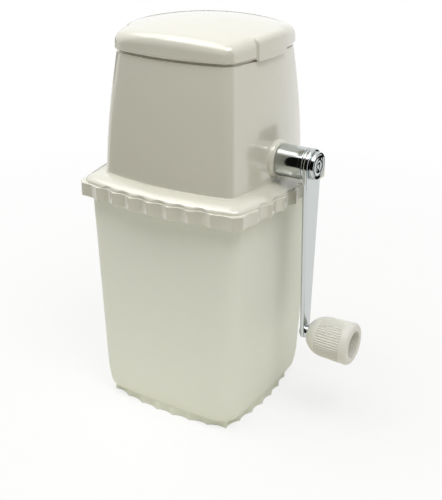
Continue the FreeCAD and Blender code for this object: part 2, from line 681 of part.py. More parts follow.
def crown_profile(body, drop):
    """Everything above the crown's sphere, as a profile to turn about Z."""
    sketch = new_sketch(body, None, "XZ_Plane")
    top = f"Sizes.lid_top - ({drop})"
    reach = "2 * Sizes.lid_half"
    sink = "(Sizes.lid_crown - sqrt(Sizes.lid_crown ^ 2 - 4 * Sizes.lid_half ^ 2))"
    ceiling = f"{top} + Sizes.crown_waste"
    a = Vector(number(reach), number(f"{top} - {sink}"), 0)
    b = Vector(0, number(top), 0)
    c = Vector(0, number(ceiling), 0)
    d = Vector(a.x, c.y, 0)
    arc = sketch.addGeometry(arc_between(a, b, size("lid_crown")))
    right = sketch.addGeometry(Part.LineSegment(d, a))
    over = sketch.addGeometry(Part.LineSegment(c, d))
    left = sketch.addGeometry(Part.LineSegment(b, c))
    for first, second in ((arc, left), (left, over), (over, right), (right, arc)):
        sketch.addConstraint(Sketcher.Constraint("Coincident", first, 2, second, 1))
    pin_point(sketch, arc, 1, reach, f"{top} - {sink}")
    pin_point(sketch, arc, 2, "0", top)
    pin_point(sketch, over, 1, "0", ceiling)
    pin_point(sketch, over, 2, reach, ceiling)
    bind(sketch, Sketcher.Constraint("Radius", arc, size("lid_crown")), "Sizes.lid_crown")
    return sketch


def make_lid():
    bow, corner = "Sizes.lid_bow", "Sizes.lid_corner"
    cover = domed_form("Sizes.lid_half", bow, corner, "Sizes.lid_edge", "0", "Sizes.lid_round")
    grips = domed_form("Sizes.lid_half + Sizes.ear_proud", f"{bow} + Sizes.ear_proud",
                       f"{corner} + Sizes.ear_proud", "Sizes.lid_edge - Sizes.ear_drop",
                       "0", "Sizes.ear_round")
    ears = doc.addObject("Part::MultiCommon", "Ears")
    ears.Shapes = [grips, fuse([grip_zone("Sizes.ear_inner"),
                                grip_zone("-Sizes.ear_inner - Sizes.lid_half")])]
    skirt = new_body("skirt")
    ring = straight_section(skirt, "Sizes.lid_edge - Sizes.skirt_drop", "top",
                            "Sizes.shell_wall + Sizes.fit_gap")
    extrude(skirt, "Pad", ring, "Sizes.skirt_drop + Sizes.lid_wall")
    inside = doc.addObject("Part::Cut", "Lid")
    inside.Label = "lid_shell"
    inside.Base = fuse([cover, trim_ears(ears), skirt])
    inside.Tool = lid_cavity()
    return inside


def grip_zone(start):
    """Box that keeps one side's stretch of the grips."""
    box = doc.addObject("Part::Box", "Zone")
    box.setExpression("Length", "Sizes.lid_half")
    box.setExpression("Width", "Sizes.ear_front + Sizes.ear_back")
    box.setExpression("Height", "Sizes.lid_top - Sizes.lid_edge + 2 * Sizes.ear_drop")
    box.setExpression("Placement.Base.x", start)
    box.setExpression("Placement.Base.y", "-Sizes.ear_front")
    box.setExpression("Placement.Base.z", "Sizes.lid_edge - 2 * Sizes.ear_drop")
    return box


def trim_ears(ears):
    """Grips without what would reach into the housing below the lid's edge."""
    keep_out = new_body("keep_out")
    section = straight_section(keep_out, "Sizes.shell_top - Sizes.neck_rise", "top",
                               "-Sizes.ear_gap")
    extrude(keep_out, "Pad", section, "2 * Sizes.neck_rise")
    trimmed = doc.addObject("Part::Cut", "TrimmedEars")
    trimmed.Base = ears
    trimmed.Tool = keep_out
    return trimmed


def lid_cavity():
    """The hollow under the crown, inside the skirt."""
    body = domed_form("Sizes.shell_half_top - Sizes.shell_wall - Sizes.fit_gap - Sizes.skirt_wall",
                      "Sizes.shell_bow_top - Sizes.shell_wall - Sizes.fit_gap - Sizes.skirt_wall",
                      "Sizes.shell_corner_top - Sizes.shell_wall - Sizes.fit_gap - Sizes.skirt_wall",
                      "Sizes.lid_edge - 2 * Sizes.skirt_drop", "Sizes.lid_wall", None)
    return body


# ----------------------------------------------------------- rotor and combs

def make_shaft():
    """Shaft with a hexagon for the blades and round journals, along +X."""
    body = turned_body("rotor_shaft", "-Sizes.clip_place - Sizes.clip_thick - Sizes.shaft_tail")
    tail = "Sizes.clip_place + Sizes.clip_thick + Sizes.shaft_tail"
    disc(body, "Sizes.axle_radius", None,
         f"{tail} + Sizes.arm_outer + Sizes.cap_thick - Sizes.cap_skin")
    hexagon(new_sketch(body, f"{tail} - Sizes.hex_half"), "Sizes.hex_flat")
    extrude(body, "Pad", body.Group[-1], "2 * Sizes.hex_half")
    ring = new_sketch(body, "Sizes.shaft_tail")
    circle(ring, "2 * Sizes.axle_radius")
    circle(ring, "Sizes.axle_radius - Sizes.clip_depth")
    extrude(body, "Pocket", ring, "Sizes.clip_thick")
    return body


def hexagon(sketch, flat):
    corner = f"{flat} / cos(30 deg)"
    outline(sketch, [(f"{corner} * cos({60 * i + 15} deg)",
                      f"{corner} * sin({60 * i + 15} deg)", None) for i in range(6)])


def make_blade(index):
    """One blade: raked points round a hexagonal hole."""
    body = turned_body(f"rotor_blade_{index + 1}",
                       f"{index - (size('blade_count') - 1) / 2} * Sizes.blade_pitch"
                       " - Sizes.blade_thick / 2")
    sketch = new_sketch(body)
    points = int(size("blade_points"))
    step = 360 / points
    turn = f"{index} * Sizes.blade_turn"
    corners = []
    for i in range(points):
        tip = f"(({turn} + {step * i} + Sizes.blade_rake) * 1 deg)"
        root = f"(({turn} + {step * (i + 0.5)}) * 1 deg)"
        corners.append((f"Sizes.blade_tip * cos{tip}", f"Sizes.blade_tip * sin{tip}", None))
        corners.append((f"Sizes.blade_root * cos{root}", f"Sizes.blade_root * sin{root}", None))
    outline(sketch, corners)
    hexagon(sketch, "(Sizes.hex_flat + Sizes.push_gap)")
    extrude(body, "Pad", sketch, "Sizes.blade_thick")
    return body


def make_spacer(index):
    """Round sleeve on the hexagon between two blades."""
    body = turned_body(f"rotor_spacer_{index + 1}",
                       f"{index - size('blade_count') / 2 + 0.5} * Sizes.blade_pitch"
                       " + Sizes.blade_thick / 2")
    sketch = new_sketch(body)
    circle(sketch, "Sizes.sleeve_radius")
    hexagon(sketch, "(Sizes.hex_flat + Sizes.push_gap)")
    extrude(body, "Pad", sketch, "Sizes.blade_pitch - Sizes.blade_thick")
    return body


def make_end_collar(side):
    """Collar between the outermost blade and the throat bush."""
    stack = f"({(size('blade_count') - 1) / 2} * Sizes.blade_pitch + Sizes.blade_thick / 2)"
    edge = "(Sizes.throat_half - Sizes.fit_gap)"
    start = stack if side == "right" else f"-{edge}"
    body = turned_body(f"rotor_collar_{side}", start)
    sketch = new_sketch(body)
    circle(sketch, "Sizes.end_collar_radius")
    hexagon(sketch, "(Sizes.hex_flat + Sizes.push_gap)")
    extrude(body, "Pad", sketch, f"{edge} - {stack}")
    return body


def make_bush(side):
    """Flanged bush in a side wall of the throat."""
    start = "Sizes.bush_inner" if side == "right" else "-Sizes.bush_outer"
    body = turned_body(f"throat_bush_{side}", start)
    length = "Sizes.bush_outer - Sizes.bush_inner"
    disc(body, "Sizes.bush_radius", None, length)
    lip = "Sizes.throat_wall" if side == "right" else None
    disc(body, "Sizes.bush_flange", lip, "Sizes.bush_lip")
    bore(body, "Sizes.axle_radius + Sizes.running_gap", None, length)
    return body


def make_boss_bush():
    body = turned_body("boss_bush", "Sizes.boss_inner")
    length = "Sizes.boss_face - Sizes.boss_inner"
    disc(body, "Sizes.boss_bush_radius", None, length)
    bore(body, "Sizes.axle_radius + Sizes.running_gap", None, length)
    return body


def make_clip():
    """Retaining ring in the groove of the shaft's left end."""
    body = turned_body("shaft_clip", "-Sizes.clip_place - Sizes.clip_thick")
    disc(body, "Sizes.clip_radius", None, "Sizes.clip_thick")
    bore(body, "Sizes.axle_radius - Sizes.clip_depth + Sizes.push_gap", None, "Sizes.clip_thick")
    return body


def make_comb(side, sign):
    """Plate on a throat wall, with a row of teeth between the blades."""
    body = new_body(f"comb_{side}")
    wall = "(Sizes.throat_half - Sizes.comb_seat)"
    face = f"({wall} - Sizes.comb_thick)"
    plate = new_sketch(body, f"{-sign} * {face}", "XZ_Plane")
    rectangle(plate, "-Sizes.comb_half", "Sizes.comb_half", "Sizes.comb_low", "Sizes.comb_high")
    extrude(body, "Pad", plate, f"{wall} - {face}", along=sign < 0)
    gaps = int(size("blade_count")) - 1
    first = f"-{(gaps - 1) / 2} * Sizes.blade_pitch - Sizes.tooth_thick / 2"
    tooth = new_sketch(body, first, "YZ_Plane")
    tip = "(Sizes.sleeve_radius + Sizes.tooth_gap)"
    mid = "Sizes.axle_height"
    corners = [(f"{sign} * {face}", f"{mid} - Sizes.tooth_root", None),
               (f"{sign} * {face}", f"{mid} + Sizes.tooth_root", None),
               (f"{sign} * {tip}", f"{mid} + Sizes.tooth_tip", None),
               (f"{sign} * {tip}", f"{mid} - Sizes.tooth_tip", None)]
    outline(tooth, corners if sign < 0 else corners[::-1])
    pad = extrude(body, "Pad", tooth, "Sizes.tooth_thick")
    doc.recompute()
    row = body.newObject("PartDesign::LinearPattern", "Row")
    row.Originals = [pad]
    row.Direction = (next(f for f in body.Origin.OriginFeatures if f.Role == "X_Axis"), [""])
    row.Occurrences = gaps
    row.setExpression("Length", f"{gaps - 1} * Sizes.blade_pitch")
    body.Tip = row
    holes = new_sketch(body, None, "XZ_Plane")
    for x in ("Sizes.comb_screw_place", "-Sizes.comb_screw_place"):
        circle(holes, "Sizes.comb_screw + Sizes.push_gap", x,
               "Sizes.comb_high - Sizes.comb_screw_drop")
    through(body, holes)
    return body


def make_comb_screws(side, sign):
    """Two screws through the throat wall into a comb."""
    inward = Rotation(Vector(1, 0, 0), 90 * sign)
    height = "Sizes.comb_high - Sizes.comb_screw_drop"
    screws = []
    for x in ("Sizes.comb_screw_place", "-Sizes.comb_screw_place"):
        head = peg("Sizes.comb_screw_head", "Sizes.comb_screw_cap",
                   (x, f"{sign} * (Sizes.throat_outer + Sizes.comb_screw_cap)", height), inward)
        shank = peg("Sizes.comb_screw", "Sizes.throat_wall + Sizes.comb_thick",
                    (x, f"{sign} * Sizes.throat_outer", height), inward)
        screws.append(fuse([head, shank]))
    return group(f"comb_screws_{side}", screws)


# ------------------------------------------------------------- crank, handle

def make_hub():
    body = turned_body("hub_sleeve", "Sizes.hub_start")
    disc(body, "Sizes.hub_radius", None, "Sizes.hub_end - Sizes.hub_start")
    bore(body, "Sizes.axle_radius + Sizes.push_gap", None, "Sizes.hub_end - Sizes.hub_start")
    return body


def make_ring(index, radius):
    """One of the stepped rings between hub and arm."""
    body = turned_body(f"hub_ring_{index + 1}", f"Sizes.hub_end + {index} * Sizes.ring_thick")
    disc(body, radius, None, "Sizes.ring_thick")
    bore(body, "Sizes.axle_radius + Sizes.push_gap", None, "Sizes.ring_thick")
    return body


def make_cap():
    body = turned_body("hub_end_cap", "Sizes.arm_outer")
    disc(body, "Sizes.cap_radius", None, "Sizes.cap_thick")
    bore(body, "Sizes.axle_radius + Sizes.push_gap", None, "Sizes.cap_thick - Sizes.cap_skin")
    return body


def make_arm():
    """Flat tapering bar that hangs from the hub to the handle pin."""
    body = new_body("crank_arm", ("Sizes.arm_inner", None, "Sizes.axle_height"),
                    Rotation(Vector(1, 0, 0), size("arm_lean")))
    sketch = new_sketch(body, None, "YZ_Plane")
    eye, foot, throw = "Sizes.arm_eye", "Sizes.arm_foot", "Sizes.throw"
    lean = f"asin(({eye} - {foot}) / {throw})"
    corners = [(f"-{foot} * cos({lean})", f"-{throw} - {foot} * sin({lean})"),
               (f"{foot} * cos({lean})", f"-{throw} - {foot} * sin({lean})"),
               (f"{eye} * cos({lean})", f"-{eye} * sin({lean})"),
               (f"-{eye} * cos({lean})", f"-{eye} * sin({lean})")]
    tapered_bar(sketch, corners, eye, foot)
    circle(sketch, "Sizes.axle_radius + Sizes.push_gap")
    circle(sketch, "Sizes.pin_radius + Sizes.push_gap", "0", f"-{throw}")
    extrude(body, "Pad", sketch, "Sizes.arm_thick")
    return body


def tapered_bar(sketch, corners, eye, foot):
    """Two round ends joined by tangent edges."""
    points = [Vector(number(x), number(y), 0) for x, y in corners]
    low_centre = Vector(0, -size("throw"), 0)
    low = sketch.addGeometry(arc_about(low_centre, number(foot), points[0], points[1]))
    right = sketch.addGeometry(Part.LineSegment(points[1], points[2]))
    top = sketch.addGeometry(arc_about(Vector(), number(eye), points[2], points[3]))
    left = sketch.addGeometry(Part.LineSegment(points[3], points[0]))
    for first, second in ((low, right), (right, top), (top, left), (left, low)):
        sketch.addConstraint(Sketcher.Constraint("Tangent", first, 2, second, 1))
    sketch.addConstraint(Sketcher.Constraint("Coincident", top, 3, -1, 1))
    pin_point(sketch, low, 3, "0", "-Sizes.throw")
    bind(sketch, Sketcher.Constraint("Radius", top, number(eye)), eye)
    bind(sketch, Sketcher.Constraint("Radius", low, number(foot)), foot)


def make_pin():
    """Handle pin, riveted in the arm, with a head inside the knob."""
    body = turned_body("knob_pin", "Sizes.arm_inner - Sizes.pin_rivet_cap", *PIN_PLACE)
    recess_floor = ("Sizes.knob_inner + Sizes.knob_length - Sizes.knob_recess_depth"
                    " + Sizes.fit_gap - Sizes.arm_inner + Sizes.pin_rivet_cap")
    disc(body, "Sizes.pin_rivet", None, "Sizes.pin_rivet_cap")
    disc(body, "Sizes.pin_radius", None, recess_floor)
    disc(body, "Sizes.pin_head", recess_floor, "Sizes.pin_cap")
    return body


def make_washer():
    body = turned_body("knob_washer", "Sizes.arm_outer", *PIN_PLACE)
    disc(body, "Sizes.washer_radius", None, "Sizes.washer_thick")
    bore(body, "Sizes.pin_radius + Sizes.push_gap", None, "Sizes.washer_thick")
    return body


def make_knob():
    """Domed knob with a flared end and a recess, turned about its pin."""
    body = turned_body("knob_grip", "Sizes.knob_inner", *PIN_PLACE)
    sketch = new_sketch(body, None, "XZ_Plane")
    hole = "Sizes.pin_radius + Sizes.running_gap"
    floor = "Sizes.knob_length - Sizes.knob_recess_depth"
    outline(sketch, [
        (hole, "0", None),
        ("Sizes.knob_start", "0", "Sizes.knob_dome_radius"),
        ("Sizes.knob_waist", "Sizes.knob_dome", None),
        ("Sizes.knob_flare", "Sizes.knob_length - Sizes.knob_round", "Sizes.knob_round"),
        ("Sizes.knob_flare - Sizes.knob_round", "Sizes.knob_length", None),
        ("Sizes.knob_recess", "Sizes.knob_length", None),
        ("Sizes.knob_recess", floor, None),
        (hole, floor, None),
    ])
    turned = body.newObject("PartDesign::Revolution", "Revolution")
    turned.Profile = sketch
    turned.ReferenceAxis = (sketch, ["V_Axis"])
    turned.Angle = 360
    return body


# -------------------------------------------------------------------- model

def build():
    blades = int(size("blade_count"))
    parts = [make_tub(), make_housing(), make_hopper(), make_hopper_screws(), make_lid()]
    for side, sign in (("front", -1), ("rear", 1)):
        parts += [make_comb(side, sign), make_comb_screws(side, sign)]
    for side in ("left", "right"):
        parts += [make_bush(side), make_end_collar(side)]
    parts += [make_boss_bush(), make_shaft(), make_clip()]
    parts += [make_blade(i) for i in range(blades)]
    parts += [make_spacer(i) for i in range(blades - 1)]
    parts += [make_hub(), make_ring(0, "Sizes.ring_radius"),
              make_ring(1, "Sizes.hub_radius"), make_cap(), make_arm()]
    parts += [make_pin(), make_washer(), make_knob()]
    return parts


def check(parts):
    for item in doc.Objects:
        if {"Invalid", "Error"} & set(item.State):
            raise RuntimeError(f"{item.Label} ({item.Name}) failed: {item.State}")
    for part in parts:
        if part.Shape.isNull() or not part.Shape.isValid() or part.Shape.Volume <= 0:
            raise RuntimeError(f"{part.Label} has a bad shape")


def export(parts):
    os.makedirs("parts", exist_ok=True)
    for part in parts:
        part.Shape.exportStep(f"parts/{part.Label}.step")
        print(f"{part.Label}: {len(part.Shape.Solids)} solids, {part.Shape.Volume:.1f} mm3")


fill_sheet()
PARTS = build()
doc.recompute()
check(PARTS)
export(PARTS)
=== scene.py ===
"""Dresses the hand-cranked ice crusher and sets up its stage."""

import math
from functools import partial

import bmesh
import bpy
from bpy.props import FloatProperty, FloatVectorProperty, IntProperty, PointerProperty
from mathutils import Matrix, Vector


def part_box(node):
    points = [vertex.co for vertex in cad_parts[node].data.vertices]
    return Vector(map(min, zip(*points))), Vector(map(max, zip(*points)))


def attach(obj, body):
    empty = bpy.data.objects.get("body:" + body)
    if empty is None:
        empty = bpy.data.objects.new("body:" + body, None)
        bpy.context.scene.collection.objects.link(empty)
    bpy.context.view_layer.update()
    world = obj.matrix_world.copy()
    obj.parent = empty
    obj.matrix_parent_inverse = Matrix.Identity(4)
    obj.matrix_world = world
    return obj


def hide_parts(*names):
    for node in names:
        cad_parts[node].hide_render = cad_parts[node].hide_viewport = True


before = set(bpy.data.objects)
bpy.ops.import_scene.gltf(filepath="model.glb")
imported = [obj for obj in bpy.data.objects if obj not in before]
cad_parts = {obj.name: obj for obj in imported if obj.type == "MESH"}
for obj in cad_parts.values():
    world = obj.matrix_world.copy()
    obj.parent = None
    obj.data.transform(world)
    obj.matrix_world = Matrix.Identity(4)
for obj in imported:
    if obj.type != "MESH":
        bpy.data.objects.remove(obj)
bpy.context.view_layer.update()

bl_info = {
    "name": "Ice Crusher",
    "version": (1, 0, 0),
    "blender": (4, 5, 0),
    "location": "View3D > Sidebar > Ice Crusher",
    "description": "Builds the visible pieces of a hand-cranked ice crusher and its stage",
    "category": "Object",
}


# ---------------------------------------------------------------- properties

def setting(default, description, kind=FloatProperty, **options):
    """A setting of a group, still without its name."""
    return kind, {"default": default, "description": description, **options}


length = partial(setting, precision=5, unit="LENGTH")
turn = partial(setting, unit="ROTATION")
power = partial(setting, unit="POWER")
colour = partial(setting, kind=FloatVectorProperty, min=0.0, max=1.0, subtype="COLOR")
share = partial(setting, min=0.0, max=1.0, subtype="FACTOR")
amount = partial(setting, kind=IntProperty, min=1)


def named(group):
    """Makes the properties of a group, each with its identifier for a name."""
    for item, (kind, options) in group.__annotations__.items():
        group.__annotations__[item] = kind(name=item.replace("_", " ").title(), **options)
    return group


def box_of(node):
    """Lowest and highest corner of a CAD node."""
    low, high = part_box(node)
    return Vector(low), Vector(high)


def middle_of(node):
    low, high = box_of(node)
    return (low + high) / 2


def ends_of(node):
    """Lowest and highest X of a CAD node."""
    return [corner.x for corner in box_of(node)]


def radius_of(node):
    """Radius of a CAD node that is round about a line along X."""
    low, high = box_of(node)
    return (high.y - low.y) / 2


AXLE = middle_of("hub_sleeve")
PIN = middle_of("knob_washer")
HUB_BORE = 0.00402
PIN_BORE = 0.00222
LUG_HOLE = 0.0346
QUARTERS = [(sx, sy) for sx in (1, -1) for sy in (1, -1)]

# Sections of the tapering housing: height, half width, bow of the sides and corner radius.
SECTIONS = ((0.1516, 0.0488, 0.170, 0.0055),
            (0.1880, 0.0472, 0.150, 0.0075),
            (0.2230, 0.0434, 0.133, 0.0100))


@named
class TubSettings(bpy.types.PropertyGroup):
    """Shape and finish of the frosted tub"""
    half_foot: length(0.0480, "Half width just above the foot")
    half_roll: length(0.0489, "Half width within the lower roll")
    half_low: length(0.0498, "Half width above the lower roll")
    half_rim: length(0.0538, "Half width at the rim")
    half_floor: length(0.0434, "Half width of the floor inside")
    bow: length(0.600, "Radius of the bowed sides")
    corner: length(0.012, "Radius of the upright corners")
    wall: length(0.0024, "Thickness of the wall")
    floor: length(0.007, "Thickness of the floor")
    roll_height: length(0.012, "Height of the middle of the lower roll")
    low_height: length(0.0235, "Height of the top of the lower roll")
    foot_rise: length(0.0065, "Height of the scalloped foot")
    foot_corner: length(0.0423, "Half width of the foot at its corners")
    foot_sag: length(0.006, "How far the sides of the foot bow out")
    scallops: amount(7, "Scallops on each side of the foot")
    scallop_depth: length(0.0016, "Depth of a scallop")
    tint: colour((0.965, 1.0, 0.885), "Colour of the frosted plastic")
    # Painted shade: the darker colour painted into the band at the foot, standing in for the thick
    # floor and the shadow low on the tub.
    shade: colour((0.86, 0.89, 0.78), "Colour of the thick plastic at the foot")
    clearness: share(0.35, "How much light passes into the wall")


@named
class HeadSettings(bpy.types.PropertyGroup):
    """Shape and finish of the white head"""
    collar_corner: length(0.0542, "Half width of the collar at its corners")
    collar_sag: length(0.0078, "How far the sides of the collar bow out")
    scallops: amount(8, "Scallops on each side of the collar")
    scallop_depth: length(0.0025, "Depth of a scallop")
    scallop_end: share(0.716, "Share of the half side where the end scallops start")
    end_depth: length(0.0010, "Depth of the end scallops")
    collar_blunt: length(0.0025, "How far the collar's corners are cut back")
    collar_out: length(0.0015, "How far out the cut corners stand")
    collar_low: length(0.1390, "Height of the collar's underside")
    collar_top: length(0.1471, "Height of the collar's top")
    tub_rim: length(0.144, "Height at which the head rests on the tub")
    shoulder_half: length(0.0588, "Half width of the shoulder")
    shoulder_bow: length(0.189, "Radius of the shoulder's bowed sides")
    shoulder_corner: length(0.007, "Radius of the shoulder's corners")
    shoulder_flare: length(0.0012, "How far the shoulder's foot spreads")
    wall: length(0.0024, "Thickness of the housing")
    neck_inset: length(0.0014, "Step in to the neck under the lid")
    lug_low: length(0.190, "Underside of the corner lugs")
    lug_top: length(0.198, "Top of the corner lugs")
    boss_radius: length(0.0112, "Radius of the boss that the crank leaves by")
    plastic: colour((0.79, 0.78, 0.68), "Colour of the gloss plastic")
    deep: colour((0.78, 0.765, 0.655), "Colour of the plastic where it is thick")
    gloss: share(0.17, "Roughness of the gloss plastic")


@named
class LidSettings(bpy.types.PropertyGroup):
    """Shape of the lift-off lid"""
    half: length(0.0445, "Half width at the edge")
    bow: length(0.129, "Radius of the bowed sides")
    corner: length(0.010, "Radius of the corners")
    edge: length(0.2246, "Height of the lid's edge")
    crown: length(0.182, "Radius of the domed crown")
    draft: length(0.0009, "How far the sides lean in up to the crown")
    rounding: length(0.007, "Rounding between sides and crown")
    wall: length(0.0024, "Thickness of the crown")
    skirt_wall: length(0.0018, "Wall of the skirt")
    skirt_gap: length(0.0003, "Gap between skirt and housing")
    skirt_drop: length(0.006, "Depth of the skirt")
    grip_proud: length(0.0012, "How far a finger grip stands out")
    grip_drop: length(0.0016, "How far a finger grip reaches down")
    grip_gap: length(0.00046, "Gap between finger grip and housing")
    grip_front: length(-0.018, "Front end of the finger grips")
    grip_back: length(0.014, "Back end of the finger grips")
    grip_round: length(0.004, "Rounding of a finger grip's upper edge")
    grip_end: length(0.0014, "Width of the soft step at a finger grip's ends")
    lip: length(0.0012, "Height of the rounding at the lid's lower edge")


@named
class CrankSettings(bpy.types.PropertyGroup):
    """Shape and finish of hub, arm and pin"""
    rings: amount(2, "Turned rings on the end cap")
    ring_depth: length(0.00035, "Depth of the turned rings")
    bulge: length(0.00055, "How far the turned ridges stand out")
    eye: length(0.0096, "Radius of the arm round the hub")
    foot: length(0.0044, "Radius of the arm round the pin")
    arm_edge: length(0.0008, "Rounding of the arm's edges")
    plating: colour((0.585, 0.615, 0.61), "Colour of the chrome plating")
    polish: share(0.05, "Roughness of the chrome plating")


@named
class KnobSettings(bpy.types.PropertyGroup):
    """Shape and finish of the ribbed knob"""
    start: length(0.0064, "Radius at the washer")
    dome: length(0.0115, "Length of the domed end")
    waist: length(0.0124, "Radius after the dome")
    flare: length(0.0130, "Radius at the outer end")
    dome_radius: length(0.0135, "Radius of the dome's curve")
    rounding: length(0.0025, "Rounding of the outer edge")
    recess: length(0.0082, "Radius of the recess in the end")
    recess_depth: length(0.007, "Depth of the recess")
    bore: length(0.00225, "Radius of the bore for the pin")
    ribs: amount(50, "Ribs round the knob")
    rib_depth: length(0.0006, "Depth of the grooves between the ribs")
    groove: share(0.90, "Width of a groove as a share of the ribs' spacing")
    rib_start: length(0.0068, "Distance from the knob's inner end to the ribs")
    rib_end: length(0.0238, "Distance from the knob's inner end to the ribs' end")
    plastic: colour((0.88, 0.87, 0.81), "Colour of the satin plastic")


@named
class WorksSettings(bpy.types.PropertyGroup):
    """Shape and finish of rotor, combs and hopper"""
    blade_tip: length(0.021, "Radius of the blade points")
    blade_root: length(0.0095, "Radius between the blade points")
    blade_points: amount(4, "Points on a blade")
    blade_turn: turn(math.radians(18), "Turn from each blade to the next")
    blade_rake: turn(math.radians(16), "Lean of the points")
    grind: length(0.0011, "Width of the ground edges")
    hex_flat: length(0.00402, "Half width across the flats of the hexagonal hole")
    steel: colour((0.56, 0.565, 0.56), "Colour of the ground steel")
    plastic: colour((0.72, 0.71, 0.66), "Colour of the inner plastic")


@named
class StageSettings(bpy.types.PropertyGroup):
    """Camera, lamps and floor"""
    place: setting((0.276438, -0.448296, 0.333017), "Where the camera stands",
                   FloatVectorProperty, unit="LENGTH", precision=5)
    azimuth: turn(math.radians(32.653), "Turn of the camera from the front towards the crank")
    elevation: turn(math.radians(23.849), "How far the camera looks down")
    lens: setting(65.718, "Focal length", unit="CAMERA")
    left: power(3.6, "Power of the lamp over the left")
    right: power(3.0, "Power of the lamp over the crank")
    top: power(5.2, "Power of the wide lamp above the object")
    sky: share(0.35, "Strength of the plain light from all round")
    warm: colour((1.0, 0.985, 0.93), "Colour of the plain light from all round")
    floor: colour((0.83, 0.81, 0.72), "Colour of the floor")
    floor_front: length(-0.36, "Where the pale floor ends towards the camera")


# ----------------------------------------------------------------- materials

def arithmetic(operation, swapped=False):
    """Method that joins two values in a maths node."""
    def join(self, other):
        return self.maths(operation, *((other, self) if swapped else (self, other)))

    return join


class Value:
    """One output of a shader node, ready for plain arithmetic."""
    __add__ = __radd__ = arithmetic("ADD")
    __mul__ = __rmul__ = arithmetic("MULTIPLY")
    __sub__ = arithmetic("SUBTRACT")
    __rsub__ = arithmetic("SUBTRACT", swapped=True)
    __truediv__ = arithmetic("DIVIDE")
    __pow__ = arithmetic("POWER")

    def __init__(self, finish, socket):
        self.finish = finish
        self.socket = socket

    def maths(self, operation, *values):
        return self.finish.node("ShaderNodeMath", {"operation": operation},
                                dict(enumerate(values)))

    def clamped(self):
        return self.maths("MINIMUM", self.maths("MAXIMUM", self, 0.0), 1.0)


class Finish:
    """A material or world whose nodes are being laid out."""

    def __init__(self, block):
        block.use_nodes = True
        self.block = block
        self.tree = block.node_tree
        self.tree.nodes.clear()

    def node(self, kind, settings=None, sockets=None, output=0):
        """Adds a node, sets it, feeds its sockets and gives one of its outputs."""
        node = self.tree.nodes.new(kind)
        for name, value in (settings or {}).items():
            if name == "stops":
                for element, position in zip(node.color_ramp.elements, value):
                    element.position = position
            else:
                setattr(node, name, value)
        for name, value in (sockets or {}).items():
            if isinstance(value, Value):
                self.tree.links.new(value.socket, node.inputs[name])
            else:
                node.inputs[name].default_value = value
        return node if output is None else Value(self, node.outputs[output])

    def place(self):
        """The point on the piece, in metres."""
        return self.node("ShaderNodeTexCoord", output="Object")

    def noise(self, scale, detail=3.0, roughness=0.5, stretch=None):
        """Soft random value from 0 to 1, with features of 1 / scale metres."""
        place = self.place()
        if stretch:
            place = self.node("ShaderNodeVectorMath", {"operation": "MULTIPLY"},
                              {0: place, 1: stretch})
        return self.node("ShaderNodeTexNoise", {"noise_dimensions": "3D"},
                         {"Vector": place, "Scale": scale,
                          "Detail": detail, "Roughness": roughness})

    def ramp(self, value, low, high):
        """0 up to the low value, 1 from the high one on, and even between."""
        return self.node("ShaderNodeValToRGB", {"stops": (low, high)}, {0: value})

    def mixed(self, factor, first, second):
        """A colour between two colours."""
        first, second = (c if isinstance(c, Value) else (*c, 1.0) for c in (first, second))
        return self.node("ShaderNodeMix", {"data_type": "RGBA"},
                         {"Factor": factor, 6: first, 7: second}, output=2)

    def diffuse(self, tone):
        return self.node("ShaderNodeBsdfDiffuse", None, {"Color": tone})

    def either(self, factor, first, second):
        """One shader where the factor is 0, another where it is 1."""
        return self.node("ShaderNodeMixShader", None, {0: factor, 1: first, 2: second})

    def bump(self, height, strength, distance):
        return self.node("ShaderNodeBump", None,
                         {"Height": height, "Strength": strength, "Distance": distance},
                         output="Normal")

    def surface(self, **sockets):
        """The closing principled shader; a socket's name is written with underscores."""
        fed = {name.replace("_", " "): value for name, value in sockets.items()}
        return self.close(self.node("ShaderNodeBsdfPrincipled", None, fed))

    def close(self, shader, kind="ShaderNodeOutputMaterial"):
        self.node(kind, None, {"Surface": shader}, output=None)
        return self.block


def new_finish(name):
    return Finish(bpy.data.materials.new(name))


def shared(maker, settings):
    """A finish that several pieces use, made once and named after its maker."""
    return bpy.data.materials.get(maker.__name__) or maker(settings)


def dimmed(tone, part):
    return tuple(channel * part for channel in tone)


def gloss_white(name, settings):
    """Moulded gloss plastic: faint flow shading, orange peel and fine wipe marks."""
    made = new_finish(name)
    flow = made.noise(22.0, 2.0)
    clouds = made.ramp(flow, 0.3, 0.75)
    peel = made.noise(260.0, 2.0, 0.4)
    grain = made.noise(2600.0, 3.0, 0.6)
    wiped = made.noise(90.0, 4.0, 0.7, (1.0, 1.0, 6.0))
    marks = made.ramp(wiped, 0.52, 0.70)
    return made.surface(
        Base_Color=made.mixed(clouds * 0.45, settings.plastic, settings.deep),
        Roughness=settings.gloss + 0.05 * grain + 0.06 * marks,
        IOR=1.5,
        Coat_Weight=1.0,
        Coat_Roughness=0.13,
        Coat_IOR=1.6,
        Normal=made.bump(peel + 0.12 * grain, 0.10, 0.0004),
    )


